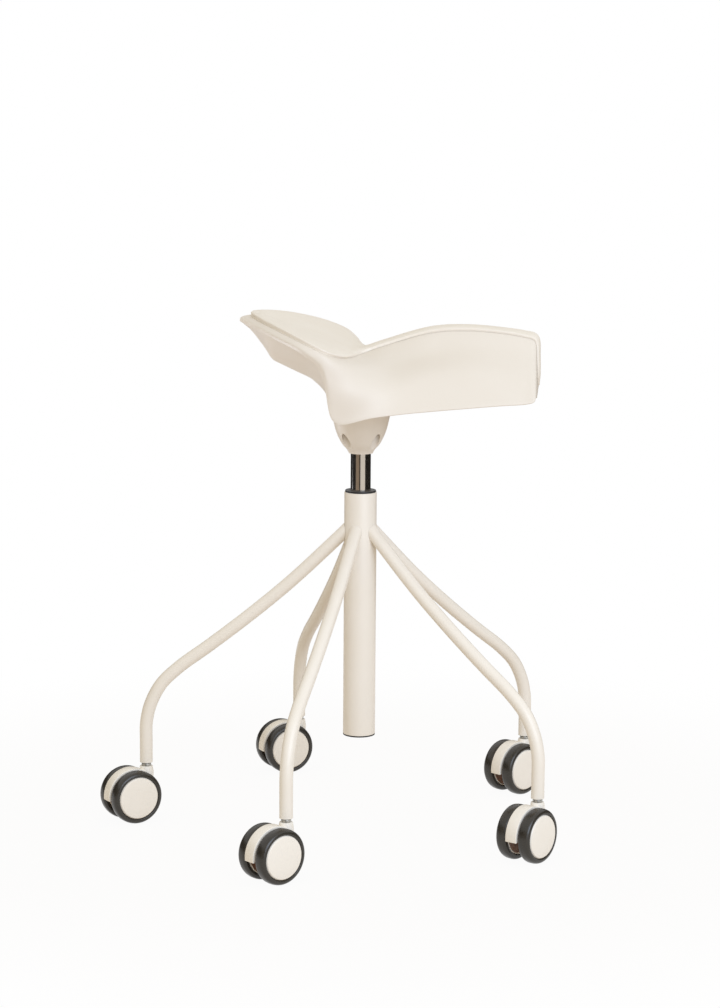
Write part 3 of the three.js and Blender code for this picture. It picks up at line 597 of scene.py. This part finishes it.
heights = np.array([pad_thickness(place) for place in pad_grid])
leaning_rim = np.array([(0.05, 0.7), (0.14, 1.2), (0.26, 1.4), (0.45, 1.1), (0.7, 0.5), (0.92, 0)])
upright_rim = np.array([(0.08, 0.3), (0.2, 0.5), (0.35, 0.6), (0.55, 0.7), (0.8, 0.8), (0.95, 0.9)])


def pad_rim(v):
    """The rim leans in at the back and stands upright along the strip."""
    lean = smooth_step(DIP_ROW - pad_grid[v][0] / LOFT_STEPS, 0, LEANING_ROWS)
    return upright_rim + lean * (leaning_rim - upright_rim)


seat_pad = new_piece("seat_pad_skin", *between(
    pad_points + heights[:, None] * pad_normals, pad_points + PAD_GAP * pad_normals, pad_faces,
    pad_normals, pad_rim), skin_foam, 70)
dress(seat_pad, "seat", "pad_skin", "seat_pad")
print("pad faces:", len(seat_pad.data.polygons))

# %% [markdown]
# ## The under cover
# A hull-shaped moulding closes the underside of the raised back, from just inside the shell's
# edge down to the dome. It is a second loft on the same rails: its top follows the shell's
# underside, and its bottom hangs below it by a bow that is deepest along the middle. At the tip
# its sides are straight; further on they sweep out to a fine gap under the shell.

# %% Under cover
keel_stations = [0, 0.4, 1, 1.33, 2, 3, 3.55, 4, 5, 6]
keel_depth_shares = [0.105, 0.138, 0.22, 0.32, 0.344, 0.387, 0.451, 0.55, 0.6, 0.62]
keel_reach_shares = [0.93, 0.93, 0.93, 0.93, 0.93, 0.94, 0.95, 0.95, 0.45, 0.36]
KEEL_CLEARANCE = 1.4
KEEL_WIDTH_SHARE = 0.95
KEEL_EDGE = 1.2
KEEL_STEPS = 72
KEEL_PAD_STEPS, KEEL_FLANK_STEPS = 12, 8
SWEPT_FROM_STATION = 3.5
BOW_POWER, SWEEP_POWER = 1.25, 0.7
DEPTH_BLUR = (-0.12, -0.04, 0.04, 0.12)

keel_rows, runs, depths, sweeps, row_walls = [], [], [], [], []
for k in range(KEEL_STEPS + 1):
    station = keel_stations[-1] * k / KEEL_STEPS
    reach = float(np.interp(station, keel_stations, keel_reach_shares))
    row = seat_row(station / STATIONS, list(np.linspace(0, 1, KEEL_PAD_STEPS + 1)),
                   [reach * s for s in np.linspace(0, 1, KEEL_FLANK_STEPS + 1)[1:]])
    keel_rows.append(row)
    run = np.cumsum([0] + [np.linalg.norm(row[c + 1] - row[c]) for c in range(len(row) - 1)])
    runs.append(run / run[-1])
    depths.append(sum(float(np.interp(station + d, keel_stations, keel_depth_shares))
                      for d in DEPTH_BLUR) / len(DEPTH_BLUR))
    sweeps.append(smooth_step(station, 0, SWEPT_FROM_STATION))
    row_walls.append([wall_at(max(c - KEEL_PAD_STEPS, 0) / KEEL_FLANK_STEPS * reach)
                      for c in range(len(row))])
keel_points, keel_grid, keel_faces = sheet_of(keel_rows, KEEL_PAD_STEPS + KEEL_FLANK_STEPS)
keel_normals = sheet_normals(keel_points, keel_faces)
keel_walls = np.array([row_walls[r][c] for r, c in keel_grid])
keel_top = keel_points - (keel_walls + KEEL_CLEARANCE)[:, None] * keel_normals
keel_top[:, 1] *= KEEL_WIDTH_SHARE
keel_bottom = keel_top.copy()
for i, (r, c) in enumerate(keel_grid):
    bow = (1 - runs[r][c] ** BOW_POWER) ** (1 + SWEEP_POWER * sweeps[r])
    keel_bottom[i][2] -= max(KEEL_EDGE, SEAT_DEPTH * depths[r] * bow)
under_cover = new_piece("under_cover_skin", *between(keel_top, keel_bottom, keel_faces),
                        polypropylene, 45)
print("under cover faces:", len(under_cover.data.polygons))

# %% [markdown]
# ## The dome
# The dome is a moulded cup that hides the gas spring's taper. Four screws reach the seat
# through it from below. Their round pockets run straight up, and where they meet the sloping
# wall they leave the teardrop openings that show in the picture.

# %% Dome
dome_line = [(0.344, 0), (0.404, 0.058), (0.515, 0.127), (0.594, 0.194), (0.72, 0.35),
             (0.842, 0.624), (0.917, 0.832), (0.969, 1)]
DOME_RIM = 48.0
BELOW_DOME = 500
dome_places = np.array([(DOME_RIM * r, DOME_FOOT + DOME_HEIGHT * h) for r, h in dome_line])
dome_outline = ([(14.5, DOME_FOOT)]
                + [tuple(smooth_curve(dome_places, share)) for share in np.linspace(0, 1, 40)]
                + [(19.3, DOME_TOP), (19.3, 540.4), (14.5, 540.4)])
dome = new_piece("dome_skin", *turned_mesh(dome_outline, 96), polypropylene)

POCKET_R = 7.0
POCKET_SHARE = 0.95
POCKET_TOP = DOME_TOP - 13
pocket = turned_mesh(rounded([(0, BELOW_DOME), (POCKET_R, BELOW_DOME), (POCKET_R, POCKET_TOP),
                              (0, POCKET_TOP)], 0.8), 48)
pockets = joined(*[shifted(pocket, POCKET_SHARE * x, POCKET_SHARE * y) for x, y in bolt_places])
carve(dome, new_piece("pockets", *pockets, polypropylene))

# The release lever leaves the dome through a slot, tall enough for its swing.
LEVER_HEIGHT = 593.6
SLOT_HALF_WIDTH = 4.2
slot_low, slot_high = LEVER_HEIGHT - 3.5, LEVER_HEIGHT + 17
slot_corners = [(side * SLOT_HALF_WIDTH, y, z)
                for side in (-1, 1) for y in (0, 60) for z in (slot_low, slot_high)]
slot_faces = [(0, 1, 3, 2), (4, 6, 7, 5), (0, 4, 5, 1), (2, 3, 7, 6), (0, 2, 6, 4), (1, 5, 7, 3)]
carve(dome, new_piece("slot", slot_corners, slot_faces, polypropylene))
dress(dome, "seat", "cream_plastic", "dome_housing")

# The under cover leaves room for the dome and the plate on it.
dome_room = ([(0, BELOW_DOME)] + [(r + 0.4, h) for r, h in dome_outline[1:-3]]
             + [(47.6, DOME_TOP), (47.6, PLATE_TOP + 0.6), (0, PLATE_TOP + 0.6)])
carve(under_cover, new_piece("dome_room", *turned_mesh(dome_room, 96), polypropylene), sharp=45)
dress(under_cover, "seat", "cream_plastic", "under_cover")

# %% Mount, screws and lever
mount = turned("seat_mount_skin", [
    (14.3, 540.7), (19, 540.7), (19, PLATE_FOOT), (47, PLATE_FOOT), (47, PLATE_TOP),
    (0, PLATE_TOP), (0, PLATE_FOOT), (13.7, PLATE_FOOT), (13.7, 580)], black_nylon, 0.5)
dress(mount, "seat", "dark_steel", "seat_mount")


def along_lever(name, outline, radius, faces, material):
    """A turned piece laid along the lever, out to the seat's left."""
    points, quads = turned_mesh(rounded(outline, radius), faces)
    return new_piece(name, [(x, z, LEVER_HEIGHT - y) for x, y, z in points], quads, material)


lever = along_lever("release_lever_rod", [(0, -5), (3, -5), (3, 112), (0, 112)], 1, 32,
                    zinc_plate)
dress(lever, "lever", "bare_steel", "release_lever")
knob = along_lever("lever_knob_skin", [
    (3.3, 96), (5.4, 96), (7, 103), (7, 121.5), (4.6, 126), (0, 126), (0, 112.3),
    (3.3, 112.3)], 1.5, 40, black_nylon)
dress(knob, "lever", "black_plastic", "lever_knob")

# %% [markdown]
# ## Column and gas spring
# The column is a powder-coated tube with a black guide bush in its top and a plug in its foot.
# The gas spring's cylinder slides in the bush. All of them are plain turned pieces.

# %% Column, bush, plug and gas spring
COLUMN_R = 22.5
COLUMN_BORE_R = 20.5
COLUMN_FOOT = 126.5
COLUMN_TOP = 470.5
BUSH_R = COLUMN_BORE_R - FIT_GAP
BUSH_BORE_R = 14.5
SPRING_R = 14
COLUMN_FACES = 96
column = turned("column_skin", [
    (COLUMN_BORE_R, COLUMN_FOOT), (COLUMN_R, COLUMN_FOOT), (COLUMN_R, COLUMN_TOP),
    (COLUMN_BORE_R, COLUMN_TOP)], powder_coat, 0.5, COLUMN_FACES)
dress(column, "base", "frame_paint", "column_tube")
bush = turned("column_collar_skin", [
    (BUSH_BORE_R, 436.5), (BUSH_R, 436.5), (BUSH_R, COLUMN_TOP + FIT_GAP),
    (21.5, COLUMN_TOP + FIT_GAP), (21.5, 473.2), (BUSH_BORE_R, 473.2)],
    black_nylon, 0.8, COLUMN_FACES)
dress(bush, "base", "black_plastic", "column_collar")
plug = turned("column_plug_skin", [
    (0, ORIGIN_HEIGHT), (COLUMN_R, ORIGIN_HEIGHT), (COLUMN_R, COLUMN_FOOT - FIT_GAP),
    (BUSH_R, COLUMN_FOOT - FIT_GAP), (BUSH_R, 141.2), (17.7, 141.2), (17.7, 127.1), (0, 127.1)],
    black_nylon, 0.8, COLUMN_FACES)
dress(plug, "base", "black_plastic", "column_end_plug")
gas_spring = turned("gas_spring_skin", [
    (5.3, 252), (SPRING_R, 252), (SPRING_R, 541), (13.4, 580), (3.5, 580), (3.5, 588), (0, 588),
    (0, 534), (11.8, 534), (11.8, 264), (5.3, 264)], black_chrome, 0.6, COLUMN_FACES)
dress(gas_spring, "seat", "dark_steel", "gas_spring")

# %% [markdown]
# ## Legs, with Geometry Nodes
# The five legs are one bent tube, repeated round the column. A path could be swept by hand, but
# a node tree says it better: a circle follows the path, the tube is copied about the axis, the
# copies are made real and the finish is set. The tree's inputs are the real sizes.


# %% Node trees for a tube on a path and for copies round the axis
def new_tree(name, sockets):
    """A node tree with a geometry in and out and the named inputs."""
    tree = bpy.data.node_groups.new(name, "GeometryNodeTree")
    tree.interface.new_socket(name="Geometry", in_out="INPUT", socket_type="NodeSocketGeometry")
    for socket, kind in sockets:
        tree.interface.new_socket(name=socket, in_out="INPUT", socket_type=kind)
    tree.interface.new_socket(name="Geometry", in_out="OUTPUT", socket_type="NodeSocketGeometry")
    return tree


def use_tree(piece, tree, values):
    """Puts a tree on a piece, sets its inputs and turns the result into a plain mesh."""
    modifier = piece.modifiers.new(tree.name, "NODES")
    modifier.node_group = tree
    for item in tree.interface.items_tree:
        if item.item_type == "SOCKET" and item.in_out == "INPUT" and item.name in values:
            modifier[item.identifier] = values[item.name]
    shown = piece.evaluated_get(bpy.context.evaluated_depsgraph_get())
    mesh = bpy.data.meshes.new_from_object(shown)
    name = piece.name
    bpy.data.objects.remove(piece)
    made = bpy.data.objects.new(name, mesh)
    bpy.context.scene.collection.objects.link(made)
    return made


tube_tree = new_tree("Tube on a path", [
    ("Tube Radius", "NodeSocketFloat"), ("Faces", "NodeSocketInt"),
    ("Finish", "NodeSocketMaterial")])
given = add_node(tube_tree, "NodeGroupInput")
circle = add_node(tube_tree, "GeometryNodeCurvePrimitiveCircle",
                  {"Resolution": given.outputs["Faces"], "Radius": given.outputs["Tube Radius"]})
swept = add_node(tube_tree, "GeometryNodeCurveToMesh",
                 {"Curve": given.outputs["Geometry"], "Profile Curve": circle.outputs["Curve"]})
finished = add_node(tube_tree, "GeometryNodeSetMaterial",
                    {"Geometry": swept.outputs["Mesh"], "Material": given.outputs["Finish"]})
add_node(tube_tree, "NodeGroupOutput", {"Geometry": finished.outputs["Geometry"]})

copy_tree = new_tree("Copies round the axis", [
    ("Count", "NodeSocketInt"), ("First Angle", "NodeSocketFloat"),
    ("Circle Radius", "NodeSocketFloat"), ("Finish", "NodeSocketMaterial")])
given = add_node(copy_tree, "NodeGroupInput")
index = add_node(copy_tree, "GeometryNodeInputIndex")
step = add_node(copy_tree, "ShaderNodeMath", {0: 2 * math.pi, 1: given.outputs["Count"]},
                operation="DIVIDE")
angle = add_node(copy_tree, "ShaderNodeMath", {
    0: index.outputs["Index"], 1: step.outputs["Value"], 2: given.outputs["First Angle"]},
    operation="MULTIPLY_ADD")
cosine = add_node(copy_tree, "ShaderNodeMath", {0: angle.outputs["Value"]}, operation="COSINE")
sine = add_node(copy_tree, "ShaderNodeMath", {0: angle.outputs["Value"]}, operation="SINE")
along = add_node(copy_tree, "ShaderNodeMath", {
    0: cosine.outputs["Value"], 1: given.outputs["Circle Radius"]}, operation="MULTIPLY")
across = add_node(copy_tree, "ShaderNodeMath", {
    0: sine.outputs["Value"], 1: given.outputs["Circle Radius"]}, operation="MULTIPLY")
spot = add_node(copy_tree, "ShaderNodeCombineXYZ",
                {"X": along.outputs["Value"], "Y": across.outputs["Value"]})
spin = add_node(copy_tree, "ShaderNodeCombineXYZ", {"Z": angle.outputs["Value"]})
spots = add_node(copy_tree, "GeometryNodePoints",
                 {"Count": given.outputs["Count"], "Position": spot.outputs["Vector"]})
copies = add_node(copy_tree, "GeometryNodeInstanceOnPoints", {
    "Points": spots.outputs["Points"], "Instance": given.outputs["Geometry"],
    "Rotation": spin.outputs["Vector"]})
real = add_node(copy_tree, "GeometryNodeRealizeInstances",
                {"Geometry": copies.outputs["Instances"]})
finished = add_node(copy_tree, "GeometryNodeSetMaterial",
                    {"Geometry": real.outputs["Geometry"], "Material": given.outputs["Finish"]})
add_node(copy_tree, "NodeGroupOutput", {"Geometry": finished.outputs["Geometry"]})

# %% Legs
LEG_REACH = 300.3
LEG_TOP = 424
LEG_FOOT = 81.6
LEG_TURN = math.radians(184.2)
LEG_STEPS = 150
TUBE_R = 9
TUBE_WALL = 2
FOOT_SHARE = 15.4 / 18
SWAGE_LENGTH = 62
leg_shares = [(0.04, 1), (0.139, 0.915), (0.326, 0.76), (0.513, 0.622), (0.701, 0.494),
              (0.843, 0.402), (0.928, 0.329), (0.977, 0.248), (0.998, 0.171), (1, 0.083), (1, 0)]
leg_line = np.array([(LEG_REACH * x, 0, LEG_FOOT + (LEG_TOP - LEG_FOOT) * z)
                     for x, z in leg_shares])
path_data = bpy.data.curves.new("leg_path", "CURVE")
path_data.dimensions = "3D"
spline = path_data.splines.new("POLY")
spline.points.add(LEG_STEPS)
for k, place in enumerate(spline.points):
    x, y, z = smooth_curve(leg_line, k / LEG_STEPS)
    place.co = (x * MM, y * MM, z * MM + FLOOR, 1)
    place.radius = FOOT_SHARE + (1 - FOOT_SHARE) * smooth_step(z - LEG_FOOT, 0, SWAGE_LENGTH)
leg_path = bpy.data.objects.new("leg_skin", path_data)
bpy.context.scene.collection.objects.link(leg_path)
leg = use_tree(leg_path, tube_tree,
               {"Tube Radius": TUBE_R * MM, "Faces": 40, "Finish": powder_coat})
wall = leg.modifiers.new("wall", "SOLIDIFY")
wall.thickness = TUBE_WALL * MM
wall.offset = -1
bake(leg)
print("leg box:", [round(v, 4) for v in leg.bound_box[0]], "faces:", len(leg.data.polygons))
column_room = turned_mesh([(0, 300), (22.8, 300), (22.8, 470), (0, 470)], 96)
carve(leg, new_piece("column_room", *column_room, powder_coat))
legs = use_tree(leg, copy_tree, {"Count": 5, "First Angle": LEG_TURN, "Circle Radius": 0.0,
                                 "Finish": powder_coat})
soften(legs, SHARP)
legs.name = "legs_skin"
dress(legs, "base", "frame_paint", *[f"leg_{letter}" for letter in LETTERS])

# %% [markdown]
# The four mount screws are one turned screw, copied by the same tree.

# %% Mount screws
screw_top = POCKET_TOP - FIT_GAP
screw = turned("mount_screws_skin", [
    (0, screw_top - 4), (4.3, screw_top - 4), (4.3, screw_top), (2.2, screw_top),
    (2.2, PLATE_TOP + 13), (0, PLATE_TOP + 13)], zinc_plate, 0.6, 32)
screws = use_tree(screw, copy_tree, {"Count": 4, "First Angle": BOLT_TURN,
                                     "Circle Radius": BOLT_CIRCLE / 2 * MM, "Finish": zinc_plate})
soften(screws, SHARP)
dress(screws, "seat", "bare_steel", *[f"mount_screw_{k}" for k in (1, 2, 3, 4)])

# %% [markdown]
# ## Castors
# Each castor has two wheels with a moulded hood between them. The hood is an arch with a
# channel section. It covers the wheels' gap from just before the stem round to the back, where
# it is cut off square. It is built once, about its own stem, and then set at each leg's end at
# the angle at which that castor came to rest.

# %% Castor shapes
WHEEL_R = 37.5
WHEEL_GAP = 36.5
HALF_TYRE = 8.5
TRAIL = 24.5
HALF_HOOD = WHEEL_GAP / 2 - HALF_TYRE - 1
STEM_FLANGE_TOP = LEG_FOOT - 1.2
STEM_FLANGE_FOOT = STEM_FLANGE_TOP - 3.6
BOSS_TOP = STEM_FLANGE_FOOT - FIT_GAP
HEADINGS = [35.6, 45.6, 56.6, 49.6, 29.6]


def swept_arc(section, first, last, steps):
    """A closed section of (radius, across) points carried round the axle."""
    points, quads, count = [], [], len(section)
    for k in range(steps + 1):
        turn = math.radians(first + (last - first) * k / steps)
        points += [(r * math.cos(turn) - TRAIL, y, r * math.sin(turn) + WHEEL_R)
                   for r, y in section]
    for k in range(steps):
        a, b = k * count, (k + 1) * count
        quads += [(a + i, b + i, b + (i + 1) % count, a + (i + 1) % count) for i in range(count)]
    quads += [tuple(range(count)), tuple(range(steps * count, (steps + 1) * count))]
    return points, quads


def about_axle(shape, stretch=1):
    """A turned shape laid along the castor's axle."""
    points, faces = shape
    return [(x - TRAIL, z * stretch, y + WHEEL_R) for x, y, z in points], faces


HOOD_R = WHEEL_R + 0.8
HOOD_FRONT, WEB_FRONT, HOOD_BACK = 28, 40, 186
CORE_R = 27.8
channel = rounded([
    (HOOD_R, -HALF_HOOD), (HOOD_R, HALF_HOOD), (HOOD_R - 5.5, HALF_HOOD),
    (HOOD_R - 5.5, HALF_HOOD - 2), (HOOD_R - 2.4, HALF_HOOD - 2),
    (HOOD_R - 2.4, 2 - HALF_HOOD), (HOOD_R - 5.5, 2 - HALF_HOOD), (HOOD_R - 5.5, -HALF_HOOD)], 0.9)
web = [(HOOD_R - 1.5, -3.5), (HOOD_R - 1.5, 3.5), (7.2, 3.5), (7.2, -3.5)]
boss_outline = rounded([
    (0, BOSS_TOP - 25), (9.2, BOSS_TOP - 25), (10.4, BOSS_TOP - 10), (8.9, BOSS_TOP),
    (0, BOSS_TOP)], 1.2)
axle_boss = turned_mesh(rounded(
    [(0, -HALF_HOOD), (8, -HALF_HOOD), (8, HALF_HOOD), (0, HALF_HOOD)], 0.8), 40)
hood_shape = joined(swept_arc(channel, HOOD_FRONT, HOOD_BACK, 56),
                    swept_arc(web, WEB_FRONT, HOOD_BACK, 24), about_axle(axle_boss),
                    turned_mesh(boss_outline, 48))
stem_bore = turned_mesh([(0, BOSS_TOP - 20.3), (5.3, BOSS_TOP - 20.3), (5.3, BOSS_TOP + 3),
                         (0, BOSS_TOP + 3)], 32)
axle_bore = turned_mesh(
    [(0, -HALF_HOOD), (3.8, -HALF_HOOD), (3.8, HALF_HOOD), (0, HALF_HOOD)], 32)
bore_shape = joined(stem_bore, about_axle(axle_bore, stretch=2))
hood = new_piece("hood", *hood_shape, castor_nylon, on_floor=False)
carve(hood, new_piece("bores", *bore_shape, castor_nylon, on_floor=False))
hood_points = [vertex.co * (1 / MM) for vertex in hood.data.vertices]
hood_faces = [tuple(polygon.vertices) for polygon in hood.data.polygons]
bpy.data.objects.remove(hood)
print("hood faces:", len(hood_faces))

stem_points, stem_faces = turned_mesh(rounded([
    (0, STEM_FLANGE_FOOT - 20), (5, STEM_FLANGE_FOOT - 20), (5, STEM_FLANGE_FOOT),
    (6.7, STEM_FLANGE_FOOT), (6.7, STEM_FLANGE_TOP), (4.6, STEM_FLANGE_TOP),
    (4.6, LEG_FOOT + 32), (0, LEG_FOOT + 32)], 0.5), 40)
tyre_points, tyre_faces = turned_mesh(rounded([
    (30.1, -HALF_TYRE), (30.1, HALF_TYRE - 0.6), (31.4, HALF_TYRE), (34.6, HALF_TYRE - 0.7),
    (36.6, HALF_TYRE - 3.2), (37.4, HALF_TYRE - 7), (37.4, 4 - HALF_TYRE),
    (36.4, 1.2 - HALF_TYRE), (34.4, -HALF_TYRE)], 1.6), 96)
hub_points, hub_faces = turned_mesh(rounded([
    (0, HALF_TYRE + 1.2), (15, HALF_TYRE + 1.1), (28.2, HALF_TYRE + 0.5),
    (29.7, HALF_TYRE - 1.6), (29.7, -HALF_TYRE), (28.2, -HALF_TYRE), (CORE_R, 2.2 - HALF_TYRE),
    (3.8, 3.4 - HALF_TYRE), (3.8, HALF_TYRE - 4.6), (0, HALF_TYRE - 4.6)], 0.8), 80)

# %% [markdown]
# The back of each wheel, seen under the hood, shows a brown core inside a cream rim. The brown is
# painted shade: the cream wheel there lies in shadow under the hood. It is the same turned wheel
# with this painted shade as a second finish on the faces inside the rim.


# %% Place the castors
def placed(points, transform):
    """Points in millimetres moved by a matrix in millimetres."""
    return [tuple(transform @ Vector(p)) for p in points]


for k, letter in enumerate(LETTERS):
    leg_turn = LEG_TURN + 2 * math.pi * k / 5
    stand = (Matrix.Translation((LEG_REACH * math.cos(leg_turn), LEG_REACH * math.sin(leg_turn), 0))
             @ Matrix.Rotation(math.radians(HEADINGS[k]), 4, "Z"))
    piece = new_piece(f"castor_{letter}_hood_skin", placed(hood_points, stand), hood_faces,
                      castor_nylon)
    dress(piece, f"castor_{letter}", "castor_plastic", f"castor_{letter}_hood")
    piece = new_piece(f"castor_{letter}_stem_skin", placed(stem_points, stand), stem_faces,
                      zinc_plate)
    dress(piece, "base", "bare_steel", f"castor_{letter}_stem")
    for side, which in ((1, "near"), (-1, "far")):
        wheel = (stand @ Matrix.Translation((-TRAIL, -side * WHEEL_GAP / 2, WHEEL_R))
                 @ Matrix.Rotation(side * math.pi / 2, 4, "X"))
        piece = new_piece(f"castor_{letter}_hub_{which}_skin", placed(hub_points, wheel),
                          hub_faces, castor_nylon)
        # The faces inside the rim get the brown painted shade as a second finish.
        piece.data.materials.append(painted_shade_core)
        middle = wheel @ Vector((0, 0, 0))
        inward = (wheel.to_3x3() @ Vector((0, 0, -1))).normalized()
        for polygon in piece.data.polygons:
            spot = polygon.center / MM - Vector((0, 0, FLOOR / MM)) - middle
            depth = spot.dot(inward)
            if depth > 0 and (spot - inward * depth).length < CORE_R:
                polygon.material_index = 1
        dress(piece, f"wheel_{letter}_{which}", "castor_plastic", f"castor_{letter}_hub_{which}")
        piece = new_piece(f"castor_{letter}_tyre_{which}_skin", placed(tyre_points, wheel),
                          tyre_faces, soft_tread)
        dress(piece, f"wheel_{letter}_{which}", "castor_tyre", f"castor_{letter}_tyre_{which}")

# %% [markdown]
# ## Small steel pieces
# The axles, the piston rod and its bearing keep their engineering shapes, which are right as
# they are, and get the finish of plain plated steel.

# %% Finish the pieces that stay
staying = (["piston_rod", "retaining_clip", "bearing_plate", "thrust_bearing", "lever_pin"]
           + [f"castor_{letter}_axle" for letter in LETTERS])
for node in staying:
    for material_slot in frame["nodes"][node].material_slots:
        material_slot.material = zinc_plate
print("kept nodes:", len(staying))

# %% [markdown]
# ## Floor, light and background
# The stool was photographed on pure white. A white floor lit to pure white would need so much
# light that the cream would burn out. So the floor and the surroundings show white to the camera
# and to reflections, and the floor still takes a part of the stool's shadow near its feet. Its glow
# lights nothing, so it isn't sampled as a lamp, which would only add grain.

# %% What the camera and reflections see
BACKGROUND_WHITE = "FFFFFF"


def sees_white(tree):
    """1 for camera, glossy and transmission rays, and 0 for the rays that light things."""
    ray = add_node(tree, "ShaderNodeLightPath")
    first = add_node(tree, "ShaderNodeMath", {
        0: ray.outputs["Is Camera Ray"], 1: ray.outputs["Is Glossy Ray"]}, operation="MAXIMUM")
    both = add_node(tree, "ShaderNodeMath", {
        0: first.outputs["Value"], 1: ray.outputs["Is Transmission Ray"]}, operation="MAXIMUM")
    return both.outputs["Value"]


# %% Floor
HALF_FLOOR = 9000
FLOOR_GAP = 0.05
floor_points = [(x * HALF_FLOOR, y * HALF_FLOOR, -FLOOR_GAP)
                for x, y in ((-1, -1), (1, -1), (1, 1), (-1, 1))]
white_floor = bpy.data.materials.new("white_studio_floor")
white_floor.use_nodes = True
white_floor.cycles.emission_sampling = "NONE"
tree = white_floor.node_tree
tree.nodes.clear()
place = add_node(tree, "ShaderNodeTexCoord").outputs["Object"]
reach = add_node(tree, "ShaderNodeVectorMath", {0: place}, operation="LENGTH")
fade = add_node(tree, "ShaderNodeMapRange", {
    "Value": reach.outputs["Value"], "From Min": 0.45, "From Max": 1.1,
    "To Min": 0.95, "To Max": 1.0}, interpolation_type="SMOOTHSTEP")
share = add_node(tree, "ShaderNodeMath", {0: sees_white(tree), 1: fade.outputs["Result"]},
                 operation="MULTIPLY")
matt = add_node(tree, "ShaderNodeBsdfDiffuse", {"Color": linear("CFC0AC")})
glow = add_node(tree, "ShaderNodeEmission", {"Color": linear(BACKGROUND_WHITE), "Strength": 1.0})
mixed = add_node(tree, "ShaderNodeMixShader", {
    0: share.outputs["Value"], 1: matt.outputs["BSDF"], 2: glow.outputs["Emission"]})
add_node(tree, "ShaderNodeOutputMaterial", {"Surface": mixed.outputs["Shader"]})
floor = new_piece("studio_floor", floor_points, [(0, 1, 2, 3)], white_floor)

# %% World
ROOM_LIGHT = 0.73
ROOM_TINT = "FFF8EA"
world = bpy.data.worlds.new("studio")
bpy.context.scene.world = world
world.use_nodes = True
tree = world.node_tree
tree.nodes.clear()
around = add_node(tree, "ShaderNodeBackground",
                  {"Color": linear(ROOM_TINT), "Strength": ROOM_LIGHT})
white = add_node(tree, "ShaderNodeBackground",
                 {"Color": linear(BACKGROUND_WHITE), "Strength": 1.0})
mixed = add_node(tree, "ShaderNodeMixShader", {
    0: sees_white(tree), 1: around.outputs["Background"], 2: white.outputs["Background"]})
add_node(tree, "ShaderNodeOutputWorld", {"Surface": mixed.outputs["Shader"]})

# %% [markdown]
# A large soft box right of the camera gives most of the light that the room doesn't. Weak ones
# stand to its left and hang above. A small lamp low on the left lifts the underside of the
# seat's tip. Black cards and a grey one stand round the stool, as in a studio. They are seen
# only in reflections, where they give the gas spring its streaks and the treads their depth.


# %% Lamps
def soft_box(name, place, width, height, watts, tint, spread=180, aim=(0, 0, 0.35)):
    """A flat lamp aimed at a place, the middle of the stool as a rule."""
    data = bpy.data.lights.new(name, "AREA")
    data.shape = "RECTANGLE"
    data.size = width
    data.size_y = height
    data.energy = watts
    data.spread = math.radians(spread)
    data.color = linear(tint)[:3]
    lamp = bpy.data.objects.new(name, data)
    bpy.context.scene.collection.objects.link(lamp)
    beam = Vector(aim) - Vector(place)
    lamp.matrix_world = Matrix.LocRotScale(Vector(place), beam.to_track_quat("-Z", "Y"), None)


def round_the_set(bearing, distance, height):
    """A place at a bearing from the camera's side, to the right of it where positive."""
    angle = VIEW_TURN - math.pi / 2 + math.radians(bearing)
    return (distance * math.cos(angle), distance * math.sin(angle), height)


soft_box("right_box", round_the_set(26, 3.2, 1.5), 2.6, 2.0, 70, "D6E6FF")
soft_box("left_box", round_the_set(-38, 3.2, 1.3), 1.6, 2.0, 2, "FFF4E4")
soft_box("top_box", (0.1, 0.3, 2.8), 1.8, 1.8, 2, "FFFDFA")
soft_box("tip_spot", round_the_set(-108, 1.15, 0.04), 0.3, 0.3, 0.42, "E6EEFF", 44,
         (-0.2, -0.02, 0.64))

# %% Black and grey cards
CARD_DISTANCE = 1500
CARD_FOOT, CARD_TOP = 20, 700
card_black = surface_finish("black_card", "161616", "121212", 400, 30, 0.1, 0.8, 0.9)
card_grey = surface_finish("grey_card", "C2B9B2", "BBB2AB", 400, 30, 0.1, 0.8, 0.9)
for name, first, last, card_finish in [
        ("right_card", 51, 180, card_black), ("left_card", 180, 303, card_black),
        ("slim_card", -16, -3.5, card_black), ("grey_card", -57, -16, card_grey)]:
    steps = max(2, round((last - first) / 10))
    card_points = []
    for i in range(steps + 1):
        x, y, _ = round_the_set(first + (last - first) * i / steps, CARD_DISTANCE, 0)
        card_points += [(x, y, CARD_FOOT), (x, y, CARD_TOP)]
    card_faces = [(2 * i, 2 * i + 2, 2 * i + 3, 2 * i + 1) for i in range(steps)]
    card = new_piece(name, card_points, card_faces, card_finish)
    for ray in ("camera", "diffuse", "transmission", "shadow"):
        setattr(card, f"visible_{ray}", False)

view = bpy.context.scene.view_settings
view.view_transform = "Standard"
